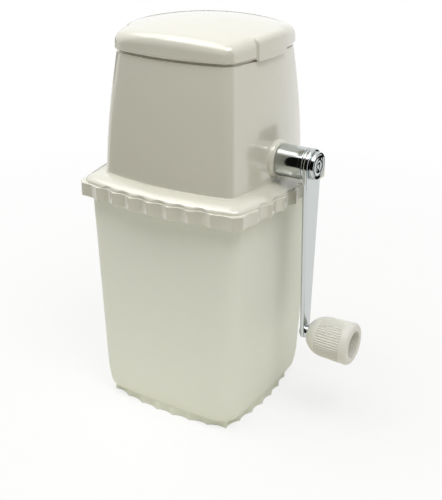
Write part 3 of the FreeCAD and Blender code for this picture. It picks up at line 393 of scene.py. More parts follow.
def frosted_plastic(settings):
    """Milky, finely textured plastic that lets some light through, with painted shade darkening it
    towards the foot.
    """
    made = new_finish("frosted_plastic")
    height = made.node("ShaderNodeSeparateXYZ", None, {0: made.place()}, output="Z")
    # Painted shade: the wall darkens from a little above the foot down to the floor, standing in
    # for the thick floor and the shadow there.
    solid, fade = 0.0035, 0.0085
    foot = (1.0 - (height - solid) / fade).clamped()
    cloud = made.noise(30.0, 2.0)
    speck = made.noise(1500.0, 4.0, 0.65)
    flow = made.noise(60.0, 3.0, 0.5, (1.0, 1.0, 0.25))
    depth = (foot ** 1.3) * (0.75 + 0.25 * cloud)
    warm = made.mixed(0.35 * cloud, settings.tint, dimmed(settings.tint, 0.94))
    return made.surface(
        # The base colour blends into the painted foot shade towards the bottom.
        Base_Color=made.mixed(depth, warm, settings.shade),
        Roughness=0.42 + 0.14 * speck + 0.05 * flow,
        IOR=1.49,
        Subsurface_Weight=settings.clearness,
        Subsurface_Radius=(0.001, 0.001, 0.0008),
        Subsurface_Scale=1.0,
        Normal=made.bump(speck + 0.3 * flow, 0.18, 0.0002),
    )


def inner_plastic(settings):
    """Satin plastic of the hopper and the bushes, a little scuffed by ice."""
    made = new_finish("inner_plastic")
    flow = made.noise(40.0, 3.0)
    scuff = made.ramp(made.noise(180.0, 5.0, 0.75, (1.0, 1.0, 0.3)), 0.56, 0.72)
    grain = made.noise(1800.0, 3.0, 0.6)
    return made.surface(
        Base_Color=made.mixed(0.5 * flow + 0.2 * scuff, settings.plastic,
                              dimmed(settings.plastic, 0.90)),
        Roughness=0.34 + 0.12 * grain + 0.14 * scuff,
        IOR=1.5,
        Normal=made.bump(grain + 0.6 * scuff, 0.12, 0.0003),
    )


def ground_steel(settings):
    """Stainless steel with fine lines from the belt."""
    made = new_finish("ground_steel")
    lines = made.noise(1.0, 4.0, 0.7, (300.0, 3500.0, 500.0))
    stain = made.noise(70.0, 3.0)
    return made.surface(
        Base_Color=made.mixed(0.5 * stain + 0.3 * lines, settings.steel,
                              dimmed(settings.steel, 0.84)),
        Metallic=1.0,
        Roughness=0.22 + 0.16 * lines + 0.06 * stain,
        Normal=made.bump(lines, 0.12, 0.0001),
    )


def chrome_plating(settings):
    """Bright plating with the slight waviness of the metal under it."""
    made = new_finish("chrome_plating")
    wave = made.noise(110.0, 2.0, 0.4)
    haze = made.noise(420.0, 4.0, 0.65)
    hair = made.noise(1.0, 3.0, 0.7, (900.0, 1500.0, 60.0))
    scratch = made.ramp(hair, 0.60, 0.68)
    return made.surface(
        Base_Color=made.mixed(0.5 * haze, settings.plating, dimmed(settings.plating, 0.93)),
        Metallic=1.0,
        Roughness=settings.polish + 0.05 * haze + 0.05 * scratch,
        Normal=made.bump(wave + 0.05 * haze, 0.05, 0.0006),
    )


def knob_plastic(settings):
    """Satin plastic, a touch darker where hands have been."""
    made = new_finish("knob_plastic")
    cloud = made.noise(85.0, 4.0)
    grain = made.noise(1900.0, 3.0, 0.6)
    touch = made.ramp(made.noise(120.0, 3.0), 0.45, 0.75)
    return made.surface(
        Base_Color=made.mixed(0.5 * cloud + 0.25 * touch, settings.plastic,
                              dimmed(settings.plastic, 0.90)),
        Roughness=0.33 + 0.10 * grain + 0.08 * touch,
        IOR=1.5,
        Coat_Weight=0.1,
        Normal=made.bump(grain + 0.4 * cloud, 0.12, 0.0003),
    )


# ------------------------------------------------------------------ outlines

def spread(first, last, count):
    """Evenly spaced numbers from first to last, with both."""
    return [first + (last - first) * k / count for k in range(count + 1)]


class Outline:
    """Closed flat outline: points and the directions that face out of it."""

    def __init__(self, points, normals):
        self.points = points
        self.normals = normals

    def ring(self, height, inset=0.0):
        return [Vector((p.x - inset * n.x, p.y - inset * n.y, height))
                for p, n in zip(self.points, self.normals)]

    def angles(self):
        return [math.atan2(p.y, p.x) for p in self.points]


def bowed_square(angles, half, bow, corner):
    """Square with bowed sides and rounded corners, met by rays at the angles."""
    reach = bow - half
    place = (math.sqrt(2 * (bow - corner) ** 2 - reach ** 2) - reach) / 2
    turning = math.atan2(place, reach + place)
    side_end = math.atan2(bow * math.sin(turning), bow * math.cos(turning) - reach)
    points, normals = [], []
    for angle in angles:
        quarter_turn = round(angle / (math.pi / 2)) * math.pi / 2
        folded = angle - quarter_turn
        ray = Vector((math.cos(folded), math.sin(folded)))
        if abs(folded) <= side_end:
            centre, radius = Vector((-reach, 0.0)), bow
        else:
            centre, radius = Vector((place, math.copysign(place, folded))), corner
        along = ray.dot(centre)
        far = along + math.sqrt(along ** 2 - centre.length_squared + radius ** 2)
        back = Matrix.Rotation(quarter_turn, 2)
        points.append(back @ (ray * far))
        normals.append(back @ ((ray * far - centre) / radius))
    return Outline(points, normals)


def housing_walls(angles, inset):
    """The housing's sections as outlines, moved in by an inset."""
    return [bowed_square(angles, half - inset, bow - inset, corner - inset)
            for _, half, bow, corner in SECTIONS]


def scalloped_square(corner, sag, scallops, cusps, blunt=None):
    """Bowed square of hollow scallops; a scallop is its depth and its points.

    blunt is how far each side's end cusps move in along the side and out from
    it, which cuts the corners off.
    """
    side = [Vector((corner * t, -corner - sag * (1 - t * t))) for t in cusps]
    if blunt:
        side[0] += Vector((blunt[0], -blunt[1]))
        side[-1] += Vector((-blunt[0], -blunt[1]))
    tip, points = 0.035, []
    for k in range(4):
        turn_on = Matrix.Rotation(k * math.pi / 2, 2)
        for start, end, (depth, count) in zip(side, side[1:], scallops):
            along = end - start
            inward = Vector((-along.y, along.x)).normalized()
            for t in spread(tip / 2, 1 - tip / 2, count - 1):
                points.append(turn_on @ (start + along * t + inward * depth * 4 * t * (1 - t)))
        if blunt:
            after = Matrix.Rotation(math.pi / 2, 2) @ side[0]
            points += [turn_on @ side[-1].lerp(after, t) for t in (0.12, 0.3, 0.5, 0.7, 0.88)]
    chords = [points[(i + 1) % len(points)] - points[i - 1] for i in range(len(points))]
    return Outline(points, [Vector((c.y, -c.x)).normalized() for c in chords])


def weighted(outlines, weights):
    """The outline between others, by their weights."""
    def mean(vectors):
        return sum((w * v for w, v in zip(weights, vectors)), Vector((0, 0)))

    return Outline([mean(found) for found in zip(*(o.points for o in outlines))],
                   [mean(found).normalized() for found in zip(*(o.normals for o in outlines))])


def lofted(outlines, heights, z):
    """The outline that a smooth loft through three outlines has at a height."""
    a, b, c = heights
    return weighted(outlines, ((z - b) * (z - c) / ((a - b) * (a - c)),
                               (z - a) * (z - c) / ((b - a) * (b - c)),
                               (z - a) * (z - b) / ((c - a) * (c - b))))


def blended(first, second, t):
    """The outline part of the way from one outline to another."""
    return weighted((first, second), (1 - t, t))


def arc(steps):
    """Shares (1 - cos, 1 - sin) of a quarter turn, for rounded edges."""
    return [(1 - math.cos(a), 1 - math.sin(a)) for a in spread(0.0, math.pi / 2, steps)]


def rounded_foot(outline, height, radius):
    """Rings that turn from a flat underside up into a wall."""
    return [outline.ring(height + radius * rise, radius * inset) for rise, inset in arc(4)]


def rounded_top(outline, height, radius, inner=False):
    """Rings that turn from a wall into a flat top, or back down into an inner wall."""
    rings = [outline.ring(height - radius * rise, radius * (-inset if inner else inset))
             for rise, inset in arc(4)]
    return rings if inner else rings[::-1]


# -------------------------------------------------------------------- meshes

def strip(mesh, low, high, closed=True):
    """Adds the quads between two rows of corners."""
    for i in range(len(low) if closed else len(low) - 1):
        j = (i + 1) % len(low)
        mesh.faces.new((low[i], low[j], high[j], high[i]))


def skin(rings, loop=False):
    """Mesh of quads between rings with equal counts of points."""
    mesh = bmesh.new()
    rows = [[mesh.verts.new(point) for point in ring] for ring in rings]
    for low, high in zip(rows, rows[1:] + (rows[:1] if loop else [])):
        strip(mesh, low, high)
    bmesh.ops.remove_doubles(mesh, verts=mesh.verts, dist=2e-6)
    bmesh.ops.dissolve_degenerate(mesh, edges=mesh.edges, dist=1e-7)
    bmesh.ops.recalc_face_normals(mesh, faces=mesh.faces)
    return mesh


def shrunk(ring, centre, shares):
    """Copies of a ring drawn in towards a centre point."""
    return [[centre.lerp(point, t) for point in ring] for t in shares]


def softened(corners, loop=True, steps=4):
    """Profile whose corners are rounded; a corner is place, radius and rounding."""
    count = len(corners)
    profile = []
    for i, (x, r, rounding) in enumerate(corners):
        here = Vector((x, r))
        if not rounding or (not loop and i in (0, count - 1)):
            profile.append(here)
            continue
        before = (Vector(corners[i - 1][:2]) - here).normalized()
        after = (Vector(corners[(i + 1) % count][:2]) - here).normalized()
        half = before.angle(after) / 2
        centre = here + (before + after).normalized() * (rounding / math.sin(half))
        start = here + before * (rounding / math.tan(half)) - centre
        sweep = math.pi - 2 * half
        if before.x * after.y - before.y * after.x > 0:
            sweep = -sweep
        profile += [centre + Matrix.Rotation(a, 2) @ start for a in spread(0.0, sweep, steps)]
    return profile


def quarter(start, end, steps, along_first=True):
    """Profile of a quarter turn that sets off along X, or else along the radius."""
    profile = []
    for rise, inset in arc(steps):
        t, u = (1 - inset, rise) if along_first else (rise, 1 - inset)
        profile.append((start[0] + (end[0] - start[0]) * t, start[1] + (end[1] - start[1]) * u))
    return profile


def bullnose(low, high, radius, bulge, steps=8):
    """Profile of a rounded ridge between two places."""
    middle, half = (low + high) / 2, (high - low) / 2
    return [(middle - half * math.cos(a), radius - bulge * (1 - math.sin(a)))
            for a in spread(0.0, math.pi, steps)]


def bored(node, bore, roundings, radius=None):
    """Profile of a round piece with a hole; its corners run from the hole's low end."""
    low, high = ends_of(node)
    r = radius or radius_of(node)
    corners = ((low, bore), (low, r), (high, r), (high, bore))
    return softened([(*corner, rounding) for corner, rounding in zip(corners, roundings)])


def spun(axis, x, r, a):
    """Point at a place along X, a reach and a turn about a line along X."""
    return Vector((x, axis.y + r * math.cos(a), axis.z + r * math.sin(a)))


def turned(profile, axis, steps=96, ridge=None, loop=True):
    """Profile of place along X and radius, turned about a line along X."""
    turns = [2 * math.pi * s / steps for s in range(steps)]
    return skin([[spun(axis, x, r + (ridge(x, a) if ridge else 0.0), a) for a in turns]
                 for x, r in profile], loop)


def rod(low, high, radius, axis, steps):
    """Solid round bar along X."""
    return turned([(low, 0.0), (low, radius), (high, radius), (high, 0.0)], axis, steps,
                  loop=False)


def new_object(name, mesh):
    """Scene object with a mesh, which is used up."""
    data = bpy.data.meshes.new(name)
    mesh.to_mesh(data)
    mesh.free()
    made = bpy.data.objects.new(name, data)
    bpy.context.scene.collection.objects.link(made)
    return made


def combined(mesh, tool, operation="DIFFERENCE"):
    """The mesh with a closed tool cut from it, or joined to it."""
    holders = [new_object("work", part) for part in (mesh, tool)]
    cut = holders[0].modifiers.new("cut", "BOOLEAN")
    cut.solver = "EXACT"
    cut.operation = operation
    cut.object = holders[1]
    result = bmesh.new()
    result.from_object(holders[0], bpy.context.evaluated_depsgraph_get())
    for holder in holders:
        data = holder.data
        bpy.data.objects.remove(holder)
        bpy.data.meshes.remove(data)
    if not result.faces:
        raise RuntimeError("a cut left no mesh")
    return result


def prism(points, direction, depth):
    """Straight prism over a flat closed outline."""
    push = direction.normalized() * depth
    mesh = bmesh.new()
    low = [mesh.verts.new(p) for p in points]
    high = [mesh.verts.new(p + push) for p in points]
    mesh.faces.new(low[::-1])
    mesh.faces.new(high)
    strip(mesh, low, high)
    bmesh.ops.recalc_face_normals(mesh, faces=mesh.faces)
    return mesh


def joined(*meshes):
    """Several meshes as one."""
    result = bmesh.new()
    for mesh in meshes:
        data = bpy.data.meshes.new("work")
        mesh.to_mesh(data)
        mesh.free()
        result.from_mesh(data)
        bpy.data.meshes.remove(data)
    return result


def add_piece(name, mesh, finish, body, nodes, sharp=32.0):
    """Makes a mesh the visible piece for its CAD nodes, attached to its body, and hides the nodes.
    """
    if not mesh.faces:
        raise RuntimeError(f"{name} has no faces")
    piece = new_object(name, mesh)
    data = piece.data
    data.polygons.foreach_set("use_smooth", [True] * len(data.polygons))
    data.set_sharp_from_angle(angle=math.radians(sharp))
    data.materials.append(finish)
    even = piece.modifiers.new("Even Normals", "WEIGHTED_NORMAL")
    even.keep_sharp = True
    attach(piece, body)
    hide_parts(*nodes)


def add_chrome(node, profile, chrome, steps=128, axis=AXLE, loop=True, sharp=32.0):
    """Adds a turned piece of the crank for the CAD node of the same name."""
    add_piece(f"{node}_turned", turned(profile, axis, steps, loop=loop), chrome, "crank",
              [node], sharp)


def refinish(node, finish):
    """Gives a carried-over CAD node its material."""
    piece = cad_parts[node]
    if not piece.material_slots:
        raise RuntimeError(f"{node} has no material slot")
    for slot in piece.material_slots:
        slot.link = "OBJECT"
        slot.material = finish


# ----------------------------------------------------------------- operators

class CRUSHER_OT_tub(bpy.types.Operator):
    """Builds the frosted tub with its scalloped foot"""
    bl_idname = "crusher.tub"
    bl_label = "Frosted Tub"
    bl_options = {"REGISTER", "UNDO"}

    def execute(self, context):
        tub = context.scene.crusher_tub
        rim = box_of("container_tub")[1].z
        wall, blend = tub.wall, 0.0012
        foot_edge, side_edge, rim_edge = 0.0005, 0.0009, 0.0007
        foot = scalloped_square(tub.foot_corner, tub.foot_sag,
                                [(tub.scallop_depth, 16)] * tub.scallops,
                                spread(-1.0, 1.0, tub.scallops))
        angles = foot.angles()

        def square(half, inset=0.0):
            return bowed_square(angles, half - inset, tub.bow - inset, tub.corner - inset)

        def flared(low, top, z):
            return blended(low, top, (z - tub.low_height) / (rim - tub.low_height)).ring(z)

        halves = (tub.half_foot, tub.half_roll, tub.half_low)
        heights = (tub.foot_rise, tub.roll_height, tub.low_height)
        outer = [square(half) for half in halves]
        inner = [square(half, wall) for half in (tub.half_floor + wall, *halves[1:])]
        top, inner_top = square(tub.half_rim), square(tub.half_rim, wall)
        rings = shrunk(foot.ring(0.0, foot_edge), Vector(), (0.0, 0.35, 0.7, 0.95))
        rings += rounded_foot(foot, 0.0, foot_edge)
        rings.append(foot.ring(tub.foot_rise - blend))
        rings += rounded_foot(outer[0], tub.foot_rise, side_edge)
        rings += [lofted(outer, heights, z).ring(z)
                  for z in spread(tub.foot_rise, tub.low_height, 12)[2:]]
        rings += [flared(outer[2], top, z) for z in spread(tub.low_height, rim - blend, 9)[1:]]
        rings += rounded_top(top, rim, rim_edge)
        rings += rounded_top(inner_top, rim, rim_edge, inner=True)
        rings += [flared(inner[2], inner_top, z) for z in spread(tub.low_height, rim, 9)[8::-1]]
        rings += [lofted(inner, (tub.floor, *heights[1:]), z).ring(z)
                  for z in spread(tub.floor, tub.low_height, 10)[9:0:-1]]
        floor = inner[0].ring(tub.floor, blend)
        rings.append(floor)
        rings += shrunk(floor, Vector((0.0, 0.0, tub.floor)), (0.8, 0.4, 0.0))
        add_piece("tub", skin(rings), frosted_plastic(tub), "container",
                  ["container_tub"], sharp=38.0)
        return {"FINISHED"}


class CRUSHER_OT_head(bpy.types.Operator):
    """Builds the white head with collar, shoulder, boss and lugs"""
    bl_idname = "crusher.head"
    bl_label = "White Head"
    bl_options = {"REGISTER", "UNDO"}

    def execute(self, context):
        head = context.scene.crusher_head
        end, count = head.scallop_end, head.scallops - 2
        last = (head.end_depth, 24)
        collar = scalloped_square(head.collar_corner, head.collar_sag,
                                  [last, *[(head.scallop_depth, 14)] * count, last],
                                  [-1, *spread(-end, end, count), 1],
                                  blunt=(head.collar_blunt, head.collar_out))
        angles = collar.angles()
        heights = [section[0] for section in SECTIONS]
        foot, top = heights[0], heights[2]
        outer, inner = housing_walls(angles, 0.0), housing_walls(angles, head.wall)
        neck = housing_walls(angles, head.neck_inset)[2]
        rim = box_of("head_housing")[1].z
        shoulder = bowed_square(angles, head.shoulder_half, head.shoulder_bow,
                                head.shoulder_corner)
        socket_half, socket_bow, socket_corner = 0.0543, 0.6005, 0.0125
        socket = bowed_square(angles, socket_half, socket_bow, socket_corner)
        collar_edge, rim_edge, fillet, top_blend = 0.0004, 0.0003, 0.0005, 0.0006
        rings = rounded_foot(collar, head.collar_low, collar_edge)
        rings += rounded_top(collar, head.collar_top, collar_edge)
        ledge = rings[-1]
        for inset, drop in arc(18)[:-1]:
            slope = blended(shoulder, outer[0], inset)
            rings.append(self.within(
                slope.ring(foot - (foot - head.collar_top) * drop,
                           -head.shoulder_flare * (1 - inset) - fillet * inset), ledge))
        rings += [outer[0].ring(foot + fillet * (1 - inset), -fillet * (1 - rise))
                  for rise, inset in arc(5)]
        rings += [lofted(outer, heights, z).ring(z)
                  for z in spread(foot + fillet, top - top_blend, 24)[1:-1]]
        rings += rounded_top(outer[2], top, rim_edge)
        rings.append(neck.ring(top))
        rings += rounded_top(neck, rim, rim_edge)
        rings += rounded_top(inner[2], rim, rim_edge, inner=True)
        rings += [lofted(inner, heights, z).ring(z) for z in spread(top, foot, 12)]
        rings += [inner[0].ring(head.tub_rim), socket.ring(head.tub_rim),
                  socket.ring(head.collar_low + collar_edge),
                  socket.ring(head.collar_low, -collar_edge)]
        shell = skin(rings, loop=True)
        for added in (self.boss(head), *self.lugs(head)):
            shell = combined(shell, added, "UNION")
        add_piece("head_shell", combined(shell, self.bores(head)),
                  gloss_white("gloss_white", head), "head", ["head_housing"])
        return {"FINISHED"}

    @staticmethod
    def within(ring, limit):
        """The ring, held a hair inside another one."""
        hair = 0.00005
        return [p if p.xy.length < q.xy.length - hair
                else Vector((*(q.xy * (1 - hair / q.xy.length)), p.z))
                for p, q in zip(ring, limit)]

    @staticmethod
    def boss(head):
        """Round boss with a softly rounded face and a small fillet at the wall."""
        r, face = head.boss_radius, box_of("boss_bush")[1].x
        inside, wall, bore, edge, fillet = 0.0412, 0.0486, 0.004, 0.0024, 0.0016
        profile = [(inside, bore), (face, bore)]
        profile += quarter((face, r - edge), (face - edge, r), 10, along_first=False)
        profile += quarter((wall, r), (wall - fillet, r + fillet), 6)[1:]
        return turned([*profile, (inside, r)], AXLE)

    @staticmethod
    def lugs(head):
        """Four winged corner lugs."""
        near, far, wing, reach = 0.0304, 0.0380, 0.0350, 0.0408
        outline = [(near, near), (reach, near), (reach, wing), (far, wing),
                   (far, far), (wing, far), (wing, reach), (near, reach)]
        return [prism([Vector((x * sx, y * sy, head.lug_low)) for x, y in outline],
                      Vector((0, 0, 1)), head.lug_top - head.lug_low)
                for sx, sy in QUARTERS]

    @staticmethod
    def bores(head):
        """The bore for the boss bush and the screw holes of the lugs."""
        start, end, gap = 0.0405, 0.0520, 0.00002
        hole, below, depth = 0.00152, 0.001, 0.010
        tools = [rod(start, end, radius_of("boss_bush") + gap, AXLE, 72)]
        for sx, sy in QUARTERS:
            ring = [Vector((LUG_HOLE * sx + hole * math.cos(a), LUG_HOLE * sy + hole * math.sin(a),
                            head.lug_low - below)) for a in spread(0.0, 2 * math.pi, 24)[:-1]]
            tools.append(prism(ring, Vector((0, 0, 1)), depth))
        return joined(*tools)


class CRUSHER_OT_lid(bpy.types.Operator):
    """Builds the domed lid with its finger grips and skirt"""
    bl_idname = "crusher.lid"
    bl_label = "Domed Lid"
    bl_options = {"REGISTER", "UNDO"}

    def execute(self, context):
        lid, head = context.scene.crusher_lid, context.scene.crusher_head
        angles = self.ray_angles(lid)
        top = box_of("lid_shell")[1].z
        centre = Vector((0.0, 0.0, top - lid.crown))
        side = bowed_square(angles, lid.half, lid.bow, lid.corner)
        gap = head.wall + lid.skirt_gap
        seat, skirt, inner = (housing_walls(angles, inset)[2]
                              for inset in (-lid.grip_gap, gap, gap + lid.skirt_wall))
        foot, outer_edge, inner_edge, sink = lid.edge - lid.skirt_drop, 0.0004, 0.0003, 0.0012
        grips = [self.grip(lid, p) for p in side.points]
        columns = [self.column(lid, p, n, g, centre, top)
                   for p, n, g in zip(side.points, side.normals, grips)]
        rings = self.crown([column[-1] for column in columns], centre, lid.crown,
                           (0.0, 0.12, 0.25, 0.4, 0.55, 0.7, 0.85, 0.95))
        rings += [list(ring) for ring in zip(*(column[::-1] for column in columns))]
        rings.append([Vector((p.x, p.y, lid.edge - lid.grip_drop * g))
                      for p, g in zip(seat.points, grips)])
        rings += [seat.ring(lid.edge), skirt.ring(lid.edge), skirt.ring(foot + 2 * outer_edge),
                  skirt.ring(foot, outer_edge), inner.ring(foot, -inner_edge),
                  inner.ring(foot + inner_edge)]
        ceiling = centre - Vector((0.0, 0.0, lid.wall))
        edge = self.crown(inner.ring(0.0), ceiling, lid.crown, (1.0,))[0]
        rings.append([p - Vector((0.0, 0.0, sink)) for p in edge])
        rings += self.crown(edge, ceiling, lid.crown, (0.98, 0.9, 0.7, 0.5, 0.25, 0.0))
        add_piece("lid_cover", skin(rings), gloss_white("lid_white", head), "lid",
                  ["lid_shell"])
        return {"FINISHED"}

    @staticmethod
    def ray_angles(lid):
        """Evenly spaced rays, with close ones at the corners and the finger grips' ends."""
        angles = [math.radians(0.5 + k) for k in range(-180, 180)]
        angles += [math.radians(a + 45 * odd) for odd in (-3, -1, 1, 3) for a in range(-5, 6)]
        reach = lid.grip_end * 5 / 9
        for end in (lid.grip_front, lid.grip_back):
            for y in spread(end - reach, end + reach, 10):
                x = math.sqrt(lid.bow ** 2 - y ** 2) - (lid.bow - lid.half)
                angles += [math.atan2(y, x), math.atan2(y, -x)]
        return sorted(set(round(a, 9) for a in angles))

    @staticmethod
    def grip(lid, point):
        """1 on a finger grip and 0 off it, with a soft step between."""
        middle, reach = (lid.grip_front + lid.grip_back) / 2, (lid.grip_back - lid.grip_front) / 2
        beside = 0.03
        if abs(point.x) < beside:
            return 0.0
        t = max(0.0, min(1.0, (reach - abs(point.y - middle)) / lid.grip_end + 0.5))
        return t * t * (3 - 2 * t)

    @staticmethod
    def column(lid, point, normal, grip, centre, top):
        """Points up one stretch of the lid's side, from its foot to the crown."""
        rounding = lid.rounding + (lid.grip_round - lid.rounding) * grip
        foot = lid.edge - lid.grip_drop * grip
        out = normal.to_3d()
        base = point.to_3d() + out * lid.grip_proud * grip

        def wall(z):
            lean = lid.draft * (z - lid.edge) / (top - lid.edge)
            return base - out * lean + Vector((0.0, 0.0, z))

        height = lid.edge
        for _ in range(6):
            ball = wall(height) - out * rounding
            height = centre.z + math.sqrt((lid.crown - rounding) ** 2 - ball.xy.length_squared)
        ball.z = height
        edge, rise = 0.0006, lid.lip
        column = [wall(foot) + Vector((0.0, 0.0, rise * r)) - out * edge * inset
                  for r, inset in arc(5)]
        column += [wall(z) for z in spread(foot + rise, height, 6)[1:-1]]
        up = (ball - centre).normalized()
        return column + [ball + out.slerp(up, t) * rounding for t in spread(0.0, 1.0, 10)]

    @staticmethod
    def crown(ring, centre, radius, shares):
        """Rings on a sphere over a ring, drawn in towards its crest."""
        return [[Vector((*(p.xy * t), centre.z + math.sqrt(
            radius ** 2 - (p.xy * t).length_squared))) for p in ring] for t in shares]


class CRUSHER_OT_hub(bpy.types.Operator):
    """Turns the chrome hub, its rings and its end cap"""
    bl_idname = "crusher.hub"
    bl_label = "Chrome Hub"
    bl_options = {"REGISTER", "UNDO"}

    def execute(self, context):
        crank = context.scene.crusher_crank
        chrome = shared(chrome_plating, crank)
        add_chrome("hub_sleeve", bored("hub_sleeve", HUB_BORE, (0, 0.0005, 0.00006, 0)), chrome)
        add_chrome("hub_ring_1", bored("hub_ring_1", HUB_BORE, (0, 0.00006, 0.0002, 0),
                                       radius_of("hub_sleeve")), chrome)
        low, high = ends_of("hub_ring_2")
        ridge = bullnose(low, high, radius_of("hub_ring_2"), crank.bulge)
        add_chrome("hub_ring_2", [(low, HUB_BORE), *ridge, (high, HUB_BORE)], chrome, sharp=60.0)
        add_piece("hub_cap_turned", turned(self.cap(crank), AXLE, 128), chrome, "crank",
                  ["hub_end_cap"], sharp=60.0)
        return {"FINISHED"}

    @staticmethod
    def cap(crank):
        """Profile of the end cap, with a rounded side and turned rings on its face."""
        low, high = ends_of("hub_end_cap")
        thickness, steps = 0.0014, 14 * crank.rings
        profile = [(low, HUB_BORE)]
        profile += bullnose(low, high, radius_of("hub_end_cap"), crank.bulge, 12)[:10]
        edge, side = profile[-1]
        rim = side - (high - edge)
        profile += quarter((edge, side), (high, rim), 5)[1:]
        for k in range(1, steps + 1):
            wave = (1 - math.cos(2 * math.pi * k * crank.rings / steps)) / 2
            profile.append((high - crank.ring_depth * wave, rim * (1 - k / steps)))
        return profile + [(high - thickness, 0.0), (high - thickness, HUB_BORE)]


class CRUSHER_OT_arm(bpy.types.Operator):
    """Builds the crank arm with the knob's pin and washer"""
    bl_idname = "crusher.arm"
    bl_label = "Crank Arm"
    bl_options = {"REGISTER", "UNDO"}

    def execute(self, context):
        crank = context.scene.crusher_crank
        chrome = shared(chrome_plating, crank)
        low, high = ends_of("crank_arm")
        edge, face_inset, spare = crank.arm_edge, 0.004, 0.001
        levels = [(0.0, face_inset)] + [(edge * rise, edge * inset) for rise, inset in arc(4)]
        rings = [self.bar(crank, inset, low + x) for x, inset in levels]
        rings += [self.bar(crank, inset, high - x) for x, inset in reversed(levels)]
        mesh = skin(rings)
        for row in (rings[0], rings[-1]):
            verts = [min(mesh.verts, key=lambda v, p=p: (v.co - p).length_squared) for p in row]
            mesh.faces.new(verts)
        bmesh.ops.recalc_face_normals(mesh, faces=mesh.faces)
        for axis, radius in ((AXLE, HUB_BORE), (PIN, PIN_BORE)):
            mesh = combined(mesh, rod(low - spare, high + spare, radius, axis, 48))
        add_piece("crank_bar", mesh, chrome, "crank", ["crank_arm"])
        add_chrome("knob_pin", self.pin(low), chrome, 72, PIN, loop=False)
        add_chrome("knob_washer", bored("knob_washer", PIN_BORE, (0, 0.0003, 0.0003, 0)),
                   chrome, 72, PIN)
        return {"FINISHED"}

    @staticmethod
    def bar(crank, inset, x):
        """Outline of the tapering bar, drawn in by an inset."""
        eye, foot = crank.eye, crank.foot
        down = Vector((PIN.y - AXLE.y, PIN.z - AXLE.z))
        along = math.atan2(down.y, down.x)
        taper = math.acos((eye - foot) / down.length)
        return [spun(middle, x, radius - inset, a)
                for radius, middle, start, end, steps in (
                    (eye, AXLE, along + taper, along + 2 * math.pi - taper, 40),
                    (foot, PIN, along - taper, along + taper, 28))
                for a in spread(start, end, steps)]

    @staticmethod
    def pin(arm):
        """Profile of the pin: rivet behind the arm, shank and flat cap."""
        low, high = ends_of("knob_pin")
        head, shank, rivet, cap = radius_of("knob_pin"), 0.0022, 0.0036, 0.0018
        return softened([(low, 0.0, 0), (low, rivet * 0.72, 0.0006),
                         (arm - 0.0002, rivet, 0.0001), (arm, rivet, 0), (arm, shank, 0),
                         (high - cap, shank, 0), (high - cap, head, 0.0003),
                         (high, head * 0.93, 0.0009), (high, 0.0, 0)], loop=False, steps=6)


class CRUSHER_OT_knob(bpy.types.Operator):
    """Builds the ribbed knob"""
    bl_idname = "crusher.knob"
    bl_label = "Ribbed Knob"
    bl_options = {"REGISTER", "UNDO"}

    def execute(self, context):
        knob = context.scene.crusher_knob
        low, high = ends_of("knob_grip")
        end, edge, lip, close, clear = high - low, 0.0003, 0.0006, 0.0002, 0.001
        flare_end, floor = end - knob.rounding, end - knob.recess_depth
        lean = (knob.flare - knob.waist) / (flare_end - knob.dome)
        places = spread(knob.rib_end - 4 * close, knob.rib_end + 2 * close, 6)
        places += spread(knob.dome, knob.rib_end - clear, 10)[1:]
        places.append((knob.rib_end + flare_end) / 2)
        profile = [(0.0, knob.bore), (0.0, knob.start - edge), *self.dome(knob)]
        profile += [(x, knob.waist + lean * (x - knob.dome)) for x in sorted(places)]
        profile += quarter((flare_end, knob.flare), (end, knob.flare - knob.rounding), 10)
        profile += quarter((end, knob.recess + lip), (end - lip, knob.recess), 4,
                           along_first=False)
        profile += [(floor + up, knob.recess - inset)
                    for up, inset in ((0.0008, 0.0002), (0.0002, 0.0005), (0.0, 0.0011))]
        profile.append((floor, knob.bore))

        def groove(x, angle):
            along, fade_in, fade_out = x - low, 0.0014, 0.0005
            fade = min((along - knob.rib_start) / fade_in, (knob.rib_end - along) / fade_out)
            across = abs((knob.ribs * angle / (2 * math.pi)) % 1.0 - 0.5) / (knob.groove / 2)
            shape = math.cos(min(1.0, across) * math.pi / 2) ** 2
            return -knob.rib_depth * max(0.0, min(1.0, fade)) * shape

        mesh = turned([(x + low, r) for x, r in profile], PIN, knob.ribs * 14, groove)
        add_piece("knob_ribbed", mesh, knob_plastic(knob), "knob", ["knob_grip"],
                  sharp=60.0)
        return {"FINISHED"}

    @staticmethod
    def dome(knob):
        """The domed end's profile, from the washer to the start of the flare."""
        waist, start = Vector((knob.dome, knob.waist)), Vector((0.0, knob.start))
        half = (waist - start) / 2
        inward = Vector((half.y, -half.x)).normalized()
        centre = start + half + inward * math.sqrt(knob.dome_radius ** 2 - half.length_squared)
        first, last = (math.atan2(p.y - centre.y, p.x - centre.x) for p in (start, waist))
        return [centre + knob.dome_radius * Vector((math.cos(a), math.sin(a)))
                for a in spread(first, last, 20)]


